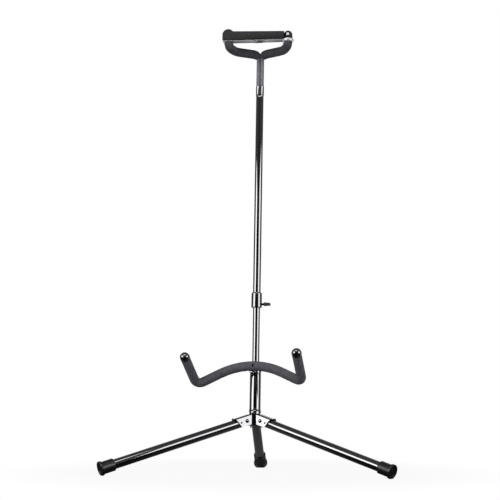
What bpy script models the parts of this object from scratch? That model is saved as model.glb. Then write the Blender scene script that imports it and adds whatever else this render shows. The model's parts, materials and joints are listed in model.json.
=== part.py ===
"""Folding tripod guitar stand with a foam cradle and a gated neck yoke.

Metres, +Z up, front towards -Y. The mast leans back, and everything above the
legs is placed in the mast's own frame: X across, -Y forward, Z along the mast,
with its zero on the plane of the leg pivots.
"""
import math

import bmesh
import bpy
from mathutils import Matrix, Vector

MM = 0.001
CLEAR = 0.3 * MM            # running or seating gap between two pieces

# Stance
LEAN = math.radians(7.0)            # mast leans back by this
PIVOT_HEIGHT = 110.0 * MM           # leg pivot plane above the floor, on the mast axis
PIVOT_RADIUS = 24.5 * MM            # leg pivot from the mast axis
FRONT_SPREAD = math.radians(59.3)   # each front leg from straight ahead
FRONT_DROP = math.radians(19.5)     # front leg below the pivot plane
REAR_DROP = math.radians(35.4)      # rear leg below the pivot plane
FLOOR_FLAT = 0.5 * MM               # depth worn flat on each foot

# Legs and feet
LEG_OD = 21.3 * MM
LEG_WALL = 1.2 * MM
NOSE_PROUD = 0.1 * MM               # rounded inner end, over the tube's own radius
FOOT_WALL = 3.05 * MM               # rubber and its play round the leg
FOOT_STEP = 2.2 * MM                # flange over the foot's rim
FOOT_FLANGE = 6.0 * MM              # flange thickness
FOOT_LENGTH = 33.0 * MM
FOOT_DISH = 2.5 * MM                # hollow in the end face

# Hub of three pressed channels on a core
CORE_OD = 26.0 * MM
CORE_BELOW = 6.5 * MM               # core below the pivot plane
SPIGOT_LENGTH = 32.0 * MM           # core pushed up into the post
SHEET = 2.0 * MM                    # pressed steel
CHEEK_GAP = 0.5 * MM                # leg to cheek
CHEEK_TOP_REACH = 24.8 * MM         # pivot to the cheek's outer end, at the top
CHEEK_LOW_REACH = 15.5 * MM         # the same at the bottom
REAR_CHEEK_LOW_REACH = 7.5 * MM     # the rear channel's ends slope more
CHEEK_DEPTH = 10.0 * MM             # cheek below the leg's centre line
REAR_CHEEK_DEPTH = 5.5 * MM
FOLD = 4.0 * MM                     # outer radius of the channel's folds
LIP_PAST = 3.0 * MM                 # lip past the channel's end
LIP_RADIUS = 2.0 * MM
LIP_WIDTH = 11.0 * MM
WEB_WIDTH = 10.0 * MM               # flat web between two channels
DIMPLE_REACH = 14.5 * MM            # pivot to the detent dimple
DIMPLE_RADIUS = 2.4 * MM
RIVET_OD = 5.0 * MM
RIVET_HEAD_OD = 9.0 * MM
RIVET_HEAD = 2.8 * MM

# Mast
POST_OD = 25.4 * MM
POST_WALL = 1.8 * MM
POST_TOP = 107.6 * MM               # along the mast from the pivot plane
BELL_OD = 28.4 * MM
BELL_HEIGHT = 8.0 * MM
BUSH_DEPTH = 14.0 * MM
BUSH_FLANGE = 1.8 * MM
MID_OD = 16.2 * MM
MID_WALL = 1.2 * MM
MID_TOP = 480.0 * MM                # hidden inside the upper tube
UPPER_WALL = 0.6 * MM
UPPER_TOP = 779.0 * MM
COLLAR_OD = 24.6 * MM
COLLAR_LOW = 263.0 * MM
COLLAR_LENGTH = 36.4 * MM
COLLAR_CHAMFER = 2.5 * MM
COLLAR_STEP = 15.0 * MM             # collar grips the mid tube over this length
SCREW_UP = 9.0 * MM                 # thumb screw above the collar's lower end
SCREW_OD = 5.6 * MM
THUMB_NECK = 4.5 * MM
THUMB_LENGTH = 15.5 * MM
THUMB_SPAN = 22.0 * MM
THUMB_THICK = 8.5 * MM

# Foam-covered rods
ROD_OD = 8.8 * MM
FOAM_OD = 21.5 * MM
CAP_LENGTH = 23.2 * MM              # on the yoke
CRADLE_CAP_LENGTH = 17.0 * MM
CAP_GRIP = 13.0 * MM                # rod inside its end cap

# Cradle, in a frame turned about the mast
CRADLE_TURN = math.radians(-13.1)
CRADLE_APEX = (0.0, 26.0 * MM, 142.3 * MM)      # half width, forward, up the mast
CRADLE_BEND = (126.2 * MM, 44.5 * MM, 81.8 * MM)
CRADLE_TIP = (132.4 * MM, 112.6 * MM, 141.9 * MM)
ARCH_RADIUS = 165.0 * MM
BEND_RADIUS = 15.0 * MM
RING_OD = 26.0 * MM
RING_HEIGHT = 9.0 * MM
TONGUE_WIDTH = 14.0 * MM
CRADLE_SCREW_OD = 3.5 * MM
CRADLE_SCREW_HEAD_OD = 5.8 * MM

# Neck yoke
FERRULE_WALL = 0.8 * MM             # crimped end, round each rod
FERRULE_LENGTH = 30.0 * MM
FERRULE_SPIGOT = 24.0 * MM
FERRULE_SOCKET = 20.0 * MM          # depth that the rods are pressed in
ROD_SPACING = 9.1 * MM
YOKE_LEVEL = 890.2 * MM             # rod centre line at the V, along the mast
YOKE_ELBOW = (58.4 * MM, 22.2 * MM, 1.2 * MM)   # half width, forward, above the V
YOKE_TIP = (71.5 * MM, 53.7 * MM)               # half width, forward
V_RADIUS = 13.0 * MM
ELBOW_RADIUS = 26.0 * MM
TIP_RADIUS = 11.2 * MM
FOAM_DRAW = 0.7                     # foam's end at the V, as a share of its diameter
PLATE_RISE = 12.8 * MM              # gate plate's underside above the V

# Gate
PLATE_WIDTH = 15.0 * MM
PLATE_THICK = 2.0 * MM
EYE_OD = 28.0 * MM
PLATE_OVERHANG = 14.0 * MM          # plate past the left arm's axis
BOSS_OD = 26.0 * MM                 # cupped boss under the eye, which bears on the right foam
BOSS_DEPTH = 5.0 * MM
BOSS_FLARE = 1.6 * MM               # its bore widens downwards, clear of the bend in the rod
TIP_PLAY = 0.8 * MM                 # slot round the left tip
BAR_HEIGHT = 20.4 * MM
BAR_TAPER = 3.0 * MM                # fall of its top towards the right
BAR_ROUND = 1.6 * MM
HOOD_WALL = 2.4 * MM
HOOD_PLAY = 0.8 * MM
CLIP_WIDTH = 21.0 * MM
CLIP_DEPTH = 12.0 * MM
CLIP_THICK = 1.8 * MM

UPPER_OD = MID_OD + 2 * CLEAR + 2 * UPPER_WALL
FOOT_RIM_OD = LEG_OD + 2 * FOOT_WALL
FOOT_FLANGE_OD = FOOT_RIM_OD + 2 * FOOT_STEP
LIP_REACH = CHEEK_TOP_REACH + LIP_PAST
ROUND = 24                          # sides of a turned piece
FINE = 2 * ROUND // 3               # sides of a small turned piece


def linear(hex_colour):
    """Turns an sRGB hex colour into the linear values a shader wants."""
    parts = [int(hex_colour[i:i + 2], 16) / 255 for i in (0, 2, 4)]
    return [p / 12.92 if p <= 0.04045 else ((p + 0.055) / 1.055) ** 2.4 for p in parts] + [1.0]


def material(name, hex_colour, roughness, metallic=0.0):
    """One Principled material."""
    mat = bpy.data.materials.new(name)
    mat.use_nodes = True
    shader = mat.node_tree.nodes["Principled BSDF"]
    shader.inputs["Base Color"].default_value = linear(hex_colour)
    shader.inputs["Roughness"].default_value = roughness
    shader.inputs["Metallic"].default_value = metallic
    return mat


def clear_scene():
    """Starts from nothing, whatever file the script runs in."""
    for obj in list(bpy.data.objects):
        bpy.data.objects.remove(obj, do_unlink=True)


class Workshop:
    """Collections, materials and the shaping tools they share."""

    def __init__(self):
        self.parts = bpy.data.collections.new("guitar_stand")
        self.tools = bpy.data.collections.new("cutters")
        for collection in (self.parts, self.tools):
            bpy.context.scene.collection.children.link(collection)
        self.paint = material("gloss_black_paint", "0B0B0D", 0.12)
        self.foam = material("black_foam", "35353A", 0.9)
        self.rubber = material("black_rubber", "1C1C1E", 0.6)
        self.plastic = material("gloss_black_plastic", "101012", 0.2)
        self.grey = material("grey_coated_steel", "5A5A60", 0.35, 0.6)
        self.zinc = material("zinc_plated_steel", "B9BBC0", 0.3, 1.0)

    def frame(self, name, parent=None, place=(0, 0, 0), turn=(0, 0, 0)):
        """An empty that carries pieces."""
        empty = bpy.data.objects.new(name, None)
        empty.empty_display_size = 0.03
        self.tools.objects.link(empty)
        empty.parent = parent
        empty.location = place
        empty.rotation_euler = turn
        return empty

    def piece(self, name, mesh, finish, parent, place=(0, 0, 0), turn=(0, 0, 0), smooth=True):
        """A finished part in the parts collection."""
        obj = bpy.data.objects.new(name, mesh)
        self.parts.objects.link(obj)
        obj.parent = parent
        obj.location = place
        obj.rotation_euler = turn
        mesh.materials.append(finish)
        if smooth:
            mesh.shade_smooth()
            mesh.set_sharp_from_angle(angle=math.radians(35))
        return obj

    def cutter(self, name, mesh, parent, place=(0, 0, 0), turn=(0, 0, 0)):
        """A helper solid that no build takes as a part."""
        obj = bpy.data.objects.new(name, mesh)
        self.tools.objects.link(obj)
        obj.parent = parent
        obj.location = place
        obj.rotation_euler = turn
        obj.hide_render = True
        obj.display_type = 'WIRE'
        return obj


def boolean(target, tool, operation):
    """Adds one exact Boolean step to a piece."""
    step = target.modifiers.new(operation.lower(), 'BOOLEAN')
    step.operation = operation
    step.object = tool
    step.solver = 'EXACT'


def cut(target, tool):
    boolean(target, tool, 'DIFFERENCE')


def weld_on(target, tool):
    boolean(target, tool, 'UNION')


def cylinder(radius, low, high, sides=ROUND, end_radius=None):
    """A closed cylinder or cone along Z."""
    mesh = bpy.data.meshes.new("cylinder")
    work = bmesh.new()
    top = radius if end_radius is None else end_radius
    bmesh.ops.create_cone(work, cap_ends=True, segments=sides, radius1=radius, radius2=top,
                          depth=high - low)
    bmesh.ops.translate(work, verts=work.verts, vec=(0, 0, (high + low) / 2))
    work.to_mesh(mesh)
    work.free()
    return mesh


def block(size, centre=(0, 0, 0), bevel=0.0, segments=2):
    """A box, with its edges rounded if asked."""
    mesh = bpy.data.meshes.new("block")
    work = bmesh.new()
    bmesh.ops.create_cube(work, size=1.0)
    bmesh.ops.scale(work, verts=work.verts, vec=size)
    if bevel:
        bmesh.ops.bevel(work, geom=work.edges, offset=bevel, segments=segments, profile=0.5,
                        affect='EDGES')
    bmesh.ops.translate(work, verts=work.verts, vec=centre)
    work.to_mesh(mesh)
    work.free()
    return mesh


def turned(profile, sides=ROUND):
    """A profile of (radius, height) points, top to bottom, spun about Z."""
    mesh = bpy.data.meshes.new("turned")
    work = bmesh.new()
    points = [work.verts.new((radius, 0, height)) for radius, height in profile]
    for a, b in zip(points, points[1:]):
        work.edges.new((a, b))
    if profile[0][0] > 0 and profile[-1][0] > 0:
        work.edges.new((points[-1], points[0]))
    work.to_mesh(mesh)
    work.free()
    holder = bpy.data.objects.new("turned", mesh)
    bpy.context.scene.collection.objects.link(holder)
    spin = holder.modifiers.new("spin", 'SCREW')
    spin.axis = 'Z'
    spin.steps = sides
    spin.render_steps = sides
    spin.use_merge_vertices = True
    spin.merge_threshold = 0.00001
    return as_mesh(holder)


def as_mesh(holder):
    """The evaluated, welded mesh of an object, which is then removed."""
    bpy.context.view_layer.update()
    graph = bpy.context.evaluated_depsgraph_get()
    mesh = bpy.data.meshes.new_from_object(holder.evaluated_get(graph))
    work = bmesh.new()
    work.from_mesh(mesh)
    bmesh.ops.remove_doubles(work, verts=work.verts, dist=0.00001)
    bmesh.ops.recalc_face_normals(work, faces=work.faces)
    work.to_mesh(mesh)
    work.free()
    mesh.materials.clear()
    bpy.data.objects.remove(holder, do_unlink=True)
    return mesh


def rod_mesh(points, diameter, resolution, shares=()):
    """A round bar along a list of points, with filled ends; shares draw its first points in."""
    curve = bpy.data.curves.new("rod", 'CURVE')
    curve.dimensions = '3D'
    curve.bevel_depth = diameter / 2
    curve.bevel_resolution = resolution
    curve.use_fill_caps = True
    spline = curve.splines.new('POLY')
    spline.points.add(len(points) - 1)
    for slot, point in zip(spline.points, points):
        slot.co = (*point, 1.0)
    for slot, share in zip(spline.points, shares):
        slot.radius = share
    holder = bpy.data.objects.new("rod", curve)
    bpy.context.scene.collection.objects.link(holder)
    return as_mesh(holder)


def flat_mesh(outline, thickness, turn=None):
    """A flat outline in XY, thickened evenly about Z = 0, then turned."""
    curve = bpy.data.curves.new("outline", 'CURVE')
    curve.dimensions = '2D'
    curve.fill_mode = 'BOTH'
    curve.extrude = thickness / 2
    spline = curve.splines.new('POLY')
    spline.points.add(len(outline) - 1)
    for slot, (x, y) in zip(spline.points, outline):
        slot.co = (x, y, 0, 1.0)
    spline.use_cyclic_u = True
    holder = bpy.data.objects.new("outline", curve)
    bpy.context.scene.collection.objects.link(holder)
    mesh = as_mesh(holder)
    if turn is not None:
        mesh.transform(turn)
    return mesh


def arc(centre, radius, start, end, steps):
    """Points along an arc, angles in degrees."""
    angles = [math.radians(start + (end - start) * k / steps) for k in range(steps + 1)]
    return [(centre[0] + radius * math.cos(a), centre[1] + radius * math.sin(a)) for a in angles]


def bent_path(corners, radii, arc_step=math.radians(11)):
    """The centre line of a bent rod: straight runs joined by arcs of the given radii."""
    corners = [Vector(corner) for corner in corners]
    path = [corners[0]]
    for before, corner, after, radius in zip(corners, corners[1:], corners[2:], radii):
        to_start = (before - corner).normalized()
        to_end = (after - corner).normalized()
        turn = math.pi - to_start.angle(to_end)
        reach = radius * math.tan(turn / 2)
        centre = corner + (to_start + to_end).normalized() * (radius / math.cos(turn / 2))
        begin = corner + to_start * reach
        out = (begin - centre).normalized()
        along = -to_start
        steps = max(2, math.ceil(turn / arc_step))
        for k in range(steps + 1):
            angle = turn * k / steps
            path.append(centre + (out * math.cos(angle) + along * math.sin(angle)) * radius)
    path.append(corners[-1])
    return path


def shortened(path, at_start=0.0, at_end=0.0):
    """The same centre line with a length taken off either end, or added if negative."""
    path = [point.copy() for point in path]
    for amount in (at_start, at_end):
        left = amount
        while left > (path[1] - path[0]).length:
            left -= (path[1] - path[0]).length
            path.pop(0)
        path[0] = path[0] + (path[1] - path[0]).normalized() * left
        path.reverse()
    return path


def tube(shop, name, outer, inner, low, high, finish, parent, sides=ROUND):
    """A plain tube along Z."""
    profile = [(inner, high), (outer, high), (outer, low), (inner, low)]
    return shop.piece(name, turned(profile, sides), finish, parent)


def end_cap(shop, name, parent, place, direction, length):
    """A domed cap whose bore takes the last of a rod."""
    radius = FOAM_OD / 2
    straight = length - radius
    dome = [(x, straight + z) for z, x in arc((0, 0), radius, 90, 0, 7)][::-1]
    dome[0] = (0.0, length)
    bore = ROD_OD / 2 + CLEAR
    profile = dome + [(radius, 0.0), (bore, 0.0), (bore, CAP_GRIP + CLEAR), (0.0, CAP_GRIP + CLEAR)]
    turn = Vector((0, 0, 1)).rotation_difference(direction).to_euler()
    return shop.piece(name, turned(profile, FINE), shop.plastic, parent, place, turn)


def foam_sleeve(shop, name, path, finish, parent, shares=(), resolution=6):
    """A foam tube along a bent rod, bored to slide over it."""
    sleeve = shop.piece(name, rod_mesh(path, FOAM_OD, resolution, shares), finish, parent)
    through = shortened(path, -CLEAR * 4, -CLEAR * 4)
    bore = shop.cutter(name + "_bore", rod_mesh(through, ROD_OD + 2 * CLEAR, 3), parent)
    cut(sleeve, bore)
    return sleeve


def leg_direction(azimuth, drop):
    """World direction of a leg whose place is given in the mast's frame."""
    flat = Vector((math.cos(azimuth), math.sin(azimuth), 0)) * math.cos(drop)
    return Matrix.Rotation(-LEAN, 3, 'X') @ (flat - Vector((0, 0, math.sin(drop))))


def leg_reach(azimuth, drop):
    """Pivot to the end of the foot, so that the foot's flange just reaches the floor."""
    direction = leg_direction(azimuth, drop)
    radial = Vector((math.cos(azimuth), math.sin(azimuth), 0)) * PIVOT_RADIUS
    pivot = PIVOT_HEIGHT + (Matrix.Rotation(-LEAN, 3, 'X') @ radial).z
    level = math.sqrt(1 - direction.z ** 2)
    return (pivot - FOOT_FLANGE_OD / 2 * level + FLOOR_FLAT) / -direction.z


def build_leg(shop, mast, floor, side, azimuth, drop):
    """One leg with its foot, hung on its pivot; X runs out along the leg."""
    place = (PIVOT_RADIUS * math.cos(azimuth), PIVOT_RADIUS * math.sin(azimuth), 0)
    pivot = shop.frame(side + "_leg_pivot", mast, place, (0, drop, azimuth))
    along = Matrix.Rotation(math.pi / 2, 4, 'Y')
    reach = leg_reach(azimuth, drop)
    leg_end = reach - FOOT_DISH - 3 * MM
    outer = LEG_OD / 2

    mesh = turned([(outer - LEG_WALL, leg_end), (outer, leg_end), (outer, -outer - MM),
                   (outer - LEG_WALL, -outer - MM)])
    mesh.transform(along)
    leg = shop.piece(side + "_leg", mesh, shop.paint, pivot)
    keep = arc((0, 0), outer + NOSE_PROUD, 270, 90, 12)
    far = 2 * LEG_OD
    nose = shop.cutter(side + "_leg_nose", flat_mesh(
        keep + [(0, far), (-far, far), (-far, -far), (0, -far)], far,
        Matrix.Rotation(math.pi / 2, 4, 'X')), pivot)
    cut(leg, nose)
    bore = cylinder(RIVET_OD / 2 + CLEAR, -LEG_OD, LEG_OD, FINE)
    bore.transform(Matrix.Rotation(math.pi / 2, 4, 'X'))
    cut(leg, shop.cutter(side + "_leg_rivet_hole", bore, pivot))

    rim = FOOT_RIM_OD / 2
    flange = FOOT_FLANGE_OD / 2
    back = reach + FOOT_FLANGE / 2 - FOOT_LENGTH
    front = reach + FOOT_FLANGE / 2
    dish = flange - 3.5 * MM
    profile = [(0.0, front - FOOT_DISH), (dish, front - FOOT_DISH), (dish + 0.8 * MM, front),
               (flange - MM, front), (flange, front - MM), (flange, front - FOOT_FLANGE + MM),
               (flange - MM, front - FOOT_FLANGE), (rim, front - FOOT_FLANGE - 0.6 * MM),
               (rim, back + 1.5 * MM), (rim - MM, back), (outer + CLEAR, back),
               (outer + CLEAR, leg_end + CLEAR), (0.0, leg_end + CLEAR)]
    mesh = turned(profile)
    mesh.transform(along)
    foot = shop.piece(side + "_foot", mesh, shop.rubber, pivot)
    cut(foot, floor)

    across = LEG_OD / 2 + CHEEK_GAP + SHEET
    head = RIVET_HEAD_OD / 2
    dome = [(head * math.cos(a), across + CLEAR + RIVET_HEAD * math.sin(a))
            for a in (math.radians(90 - 18 * k) for k in range(6))]
    dome[0] = (0.0, across + CLEAR + RIVET_HEAD)
    shank = RIVET_OD / 2
    tail = [(radius, -height) for radius, height in reversed(dome)]
    mesh = turned(dome + [(shank, across + CLEAR), (shank, -across - CLEAR)] + tail, FINE)
    mesh.transform(Matrix.Rotation(math.pi / 2, 4, 'X'))
    shop.piece(side + "_leg_rivet", mesh, shop.paint, pivot)
    return pivot


def channel(shop, mast, side, azimuth, drop, low_reach, depth):
    """Helpers for one pressed inverted-U channel, in its leg's frame: skin, hollow, rivet hole."""
    place = (PIVOT_RADIUS * math.cos(azimuth), PIVOT_RADIUS * math.sin(azimuth), 0)
    axis = shop.frame(side + "_channel_axis", mast, place, (0, drop, azimuth))
    inside = LEG_OD / 2 + CHEEK_GAP
    outside = inside + SHEET
    roof = LEG_OD / 2 + CLEAR
    top = roof + SHEET
    low = -depth
    upright = Matrix.Rotation(math.pi / 2, 4, 'X')

    section = [(outside, low)] + arc((outside - FOLD, top - FOLD), FOLD, 0, 90, 4)
    section += arc((FOLD - outside, top - FOLD), FOLD, 90, 180, 4) + [(-outside, low)]
    stand = Matrix(((0, 0, 1, 0), (1, 0, 0, 0), (0, 1, 0, 0), (0, 0, 0, 1)))
    middle = Matrix.Translation(((CHEEK_TOP_REACH - PIVOT_RADIUS) / 2, 0, 0))
    skin = shop.cutter(side + "_channel", flat_mesh(
        section, CHEEK_TOP_REACH + PIVOT_RADIUS, middle @ stand), axis)

    past = CHEEK_TOP_REACH + FOLD
    shoulder = top - FOLD - 0.7 * MM
    slope = [(CHEEK_TOP_REACH - 1.5 * MM, shoulder), (low_reach, low - MM),
             (past, low - MM), (past, shoulder)]
    cut(skin, shop.cutter(side + "_channel_end", flat_mesh(slope, 2 * LEG_OD, upright), axis))

    curl_base = LIP_REACH - LIP_RADIUS
    curl_centre = (curl_base, roof + LIP_RADIUS)
    curl = [(CHEEK_TOP_REACH - 2 * MM, roof + CLEAR), (curl_base, roof + CLEAR)]
    curl += arc(curl_centre, LIP_RADIUS, -75, 75, 6) + [(curl_base - MM, top), (CHEEK_TOP_REACH - 2 * MM, top)]
    weld_on(skin, shop.cutter(side + "_channel_lip", flat_mesh(
        curl, LIP_WIDTH, upright), axis))

    for hand in (-1, 1):
        mesh = bpy.data.meshes.new("dimple")
        work = bmesh.new()
        bmesh.ops.create_uvsphere(work, u_segments=12, v_segments=8, radius=DIMPLE_RADIUS)
        bmesh.ops.scale(work, verts=work.verts, vec=(1, 0.55, 1))
        bmesh.ops.translate(work, verts=work.verts, vec=(DIMPLE_REACH, hand * outside, 0))
        work.to_mesh(mesh)
        work.free()
        weld_on(skin, shop.cutter("%s_dimple_%d" % (side, hand), mesh, axis))

    swing = LEG_OD / 2 + NOSE_PROUD + CLEAR
    far = 2 * CHEEK_TOP_REACH
    inner = [(0, roof)] + arc((0, 0), swing, 100, 180 + math.degrees(drop), 8)
    x, y = inner[-1]
    inner += [(x + far * math.sin(drop), y - far * math.cos(drop)), (far, -far), (far, roof)]
    hollow = shop.cutter(side + "_channel_hollow", flat_mesh(inner, 2 * inside, upright), axis)
    bore = cylinder(RIVET_OD / 2 + CLEAR, -2 * LEG_OD, 2 * LEG_OD, FINE)
    bore.transform(upright)
    return skin, hollow, shop.cutter(side + "_cheek_hole", bore, axis)


def hub_top():
    """Height of the hub's flat top: where the steepest channel passes under the bell."""
    rise = (PIVOT_RADIUS - BELL_OD / 2) * math.tan(REAR_DROP)
    return (LEG_OD / 2 + CLEAR + SHEET) / math.cos(REAR_DROP) + rise


def web(shop, mast, name, azimuth, half_gap):
    """The flat web that joins the cheeks of two neighbouring channels."""
    outside = LEG_OD / 2 + CHEEK_GAP + SHEET
    face = (outside + WEB_WIDTH / 2 * math.cos(half_gap)) / math.sin(half_gap)
    shoulder = hub_top() - 0.6 * (face - BELL_OD / 2)
    section = [(CORE_OD / 4, -CORE_BELOW), (face, -CORE_BELOW - MM), (face, shoulder - 4 * MM),
               (BELL_OD / 2, shoulder), (CORE_OD / 4, shoulder)]
    upright = Matrix.Rotation(azimuth, 4, 'Z') @ Matrix.Rotation(math.pi / 2, 4, 'X')
    return shop.cutter(name, flat_mesh(section, WEB_WIDTH, upright), mast)


def build_hub(shop, mast, legs):
    """Core and three channels, welded into one pressing, with a spigot for the post."""
    top = hub_top()
    hub = shop.piece("hub", cylinder(CORE_OD / 2, -CORE_BELOW, top), shop.paint, mast)
    ends = {"rear": (REAR_CHEEK_LOW_REACH, REAR_CHEEK_DEPTH)}
    shapes = [channel(shop, mast, side, azimuth, drop, *ends.get(side, (CHEEK_LOW_REACH, CHEEK_DEPTH)))
              for side, azimuth, drop in legs]
    for skin, hollow, hole in shapes:
        weld_on(hub, skin)
    for k, (side, azimuth, drop) in enumerate(legs):
        gap = (legs[(k + 1) % 3][1] - azimuth) % (2 * math.pi)
        weld_on(hub, web(shop, mast, "hub_web_" + side, azimuth + gap / 2, gap / 2))
    cut(hub, shop.cutter("hub_top_plane", cylinder(4 * CORE_OD, top, top + 4 * CORE_OD), mast))
    for skin, hollow, hole in shapes:
        cut(hub, hollow)
        cut(hub, hole)
    spigot = POST_OD / 2 - POST_WALL - CLEAR
    weld_on(hub, shop.cutter("hub_spigot", cylinder(spigot, 0, top + SPIGOT_LENGTH), mast))
    cut(hub, shop.cutter("hub_bore", cylinder(
        MID_OD / 2 + CLEAR, -2 * CORE_BELOW, top + 2 * SPIGOT_LENGTH), mast))


def build_post(shop, mast):
    """Lower post with its bell, and the bush in its top."""
    outer = POST_OD / 2
    inner = outer - POST_WALL
    low = hub_top() + CLEAR
    bell = BELL_OD / 2
    flare = [(outer + (bell - outer) * (1 - math.cos(k * math.pi / 10)), low + BELL_HEIGHT * (1 - k / 5))
             for k in range(6)]
    profile = [(inner, POST_TOP), (outer, POST_TOP)] + flare + [(bell, low), (inner, low)]
    shop.piece("lower_post", turned(profile), shop.paint, mast)
    plug = inner - CLEAR
    bore = MID_OD / 2 + CLEAR
    seat = POST_TOP + CLEAR
    profile = [(bore, seat + BUSH_FLANGE), (outer, seat + BUSH_FLANGE), (outer, seat), (plug, seat),
               (plug, seat - BUSH_DEPTH), (bore, seat - BUSH_DEPTH)]
    shop.piece("post_bush", turned(profile), shop.plastic, mast)


def build_mast(shop, mast):
    """Mid tube, and the upper tube that slides on it with its collar."""
    outer = MID_OD / 2
    tube(shop, "mid_tube", outer, outer - MID_WALL, hub_top() - 8 * MM, MID_TOP, shop.paint, mast)
    upper = UPPER_OD / 2
    lip = COLLAR_LOW + COLLAR_STEP
    tube(shop, "upper_tube", upper, upper - UPPER_WALL, lip + CLEAR, UPPER_TOP, shop.paint, mast)

    bore = outer + CLEAR
    wide = upper + CLEAR
    high = COLLAR_LOW + COLLAR_LENGTH
    rim = COLLAR_OD / 2
    chamfer = COLLAR_CHAMFER
    profile = [(wide, high), (rim - chamfer, high), (rim - 0.3 * chamfer, high - 0.5 * chamfer),
               (rim, high - 1.4 * chamfer), (rim, COLLAR_LOW + chamfer),
               (rim - chamfer * 0.6, COLLAR_LOW), (bore, COLLAR_LOW), (bore, lip), (wide, lip)]
    collar = shop.piece("height_collar", turned(profile), shop.plastic, mast)
    height = COLLAR_LOW + SCREW_UP
    screw = shop.frame("thumb_screw_axis", mast, (0, 0, height), (0, math.pi / 2, 0))
    hole = shop.cutter("thumb_screw_hole", cylinder(SCREW_OD / 2 + CLEAR, 0, COLLAR_OD, FINE), screw)
    cut(collar, hole)

    tip = outer + CLEAR
    neck = rim + THUMB_NECK
    head = neck + THUMB_LENGTH
    shop.piece("thumb_screw_shank", turned(
        [(0.0, neck + 8 * MM), (SCREW_OD / 2, neck + 8 * MM), (SCREW_OD / 2, tip + MM),
         (SCREW_OD / 2 - MM, tip), (0.0, tip)], FINE), shop.zinc, screw)
    wing = bpy.data.meshes.new("wing")
    work = bmesh.new()
    bmesh.ops.create_cube(work, size=1.0)
    bmesh.ops.scale(work, verts=work.verts, vec=(THUMB_THICK, THUMB_SPAN, THUMB_LENGTH))
    for vert in work.verts:
        if vert.co.z > 0:
            vert.co.x *= 0.42
        else:
            vert.co.y *= 0.5
    bmesh.ops.bevel(work, geom=work.edges, offset=1.6 * MM, segments=3, profile=0.5, affect='EDGES')
    bmesh.ops.translate(work, verts=work.verts, vec=(0, 0, (neck + head) / 2))
    work.to_mesh(wing)
    work.free()
    knob = shop.piece("thumb_screw_wing", wing, shop.plastic, screw)
    cut(knob, shop.cutter("thumb_wing_bore", cylinder(SCREW_OD / 2 + CLEAR, neck - 5 * MM,
                                                      neck + 8 * MM + CLEAR, FINE), screw))


def build_cradle(shop, mast):
    """The foam-covered cradle rod on its swivelling bracket."""
    turntable = shop.frame("cradle_swivel", mast, (0, 0, 0), (0, 0, CRADLE_TURN))

    def at(half_width, forward, up, hand=1):
        return Vector((hand * half_width, -forward, up))

    corners = [at(*CRADLE_TIP, -1), at(*CRADLE_BEND, -1), at(*CRADLE_APEX), at(*CRADLE_BEND),
               at(*CRADLE_TIP)]
    path = bent_path(corners, [BEND_RADIUS, ARCH_RADIUS, BEND_RADIUS])
    rod = shop.piece("cradle_rod", rod_mesh(path, ROD_OD, 4), shop.paint, turntable)
    covered = CAP_GRIP
    foam = foam_sleeve(shop, "cradle_foam", shortened(path, covered + CLEAR, covered + CLEAR),
                       shop.foam, turntable)
    for hand, side in ((-1, "left"), (1, "right")):
        tip = at(*CRADLE_TIP, hand)
        direction = (tip - at(*CRADLE_BEND, hand)).normalized()
        end_cap(shop, "cradle_cap_" + side, turntable, tip - direction * CAP_GRIP, direction,
                CRADLE_CAP_LENGTH)

    middle = path[len(path) // 2]
    forward = -middle.y
    level = middle.z
    base = POST_TOP + CLEAR + BUSH_FLANGE + CLEAR
    bore = MID_OD / 2 + CLEAR
    ring = shop.piece("cradle_bracket", turned(
        [(bore, base + RING_HEIGHT), (RING_OD / 2 - MM, base + RING_HEIGHT),
         (RING_OD / 2, base + RING_HEIGHT - MM), (RING_OD / 2, base + MM), (RING_OD / 2 - MM, base),
         (bore, base)]), shop.paint, turntable)
    rear_of_rod = forward - ROD_OD / 2 - CLEAR
    length = rear_of_rod - RING_OD / 2 + 4 * MM
    tongue = shop.cutter("bracket_tongue", block(
        (TONGUE_WIDTH, length, RING_HEIGHT), (0, -(rear_of_rod - length / 2), base + RING_HEIGHT / 2),
        1.5 * MM), turntable)
    weld_on(ring, tongue)
    pad = shop.cutter("bracket_pad", block(
        (TONGUE_WIDTH, 3 * MM, level + 6 * MM - base), (0, -(rear_of_rod - 1.5 * MM),
                                                        (level + 6 * MM + base) / 2), 0.8 * MM), turntable)
    weld_on(ring, pad)
    room = shop.cutter("bracket_room_in_foam", block(
        (TONGUE_WIDTH + 2 * CLEAR, 2 * FOAM_OD, level + 6 * MM - base + 2 * CLEAR),
        (0, -(rear_of_rod + CLEAR - FOAM_OD), (level + 6 * MM + base) / 2)), turntable)
    cut(foam, room)

    screw = shop.frame("cradle_screw_axis", turntable, (0, -forward, level), (math.pi / 2, 0, 0))
    shaft = CRADLE_SCREW_OD / 2
    head = CRADLE_SCREW_HEAD_OD / 2
    face = ROD_OD / 2 + CLEAR
    inner = -ROD_OD / 2 - CLEAR - 2.4 * MM
    shop.piece("cradle_screw", turned(
        [(0.0, face + 2.4 * MM), (head * 0.55, face + 2.2 * MM), (head * 0.9, face + 1.3 * MM),
         (head, face), (shaft, face), (shaft, inner), (0.0, inner)], FINE), shop.paint, screw)
    through = shop.cutter("cradle_screw_hole", cylinder(shaft + CLEAR, -2 * ROD_OD, 2 * ROD_OD, FINE), screw)
    for piece in (rod, ring, foam):
        cut(piece, through)
    cut(foam, shop.cutter("foam_head_hole", cylinder(head + CLEAR, 0, FOAM_OD, FINE), screw))
    return turntable


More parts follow.
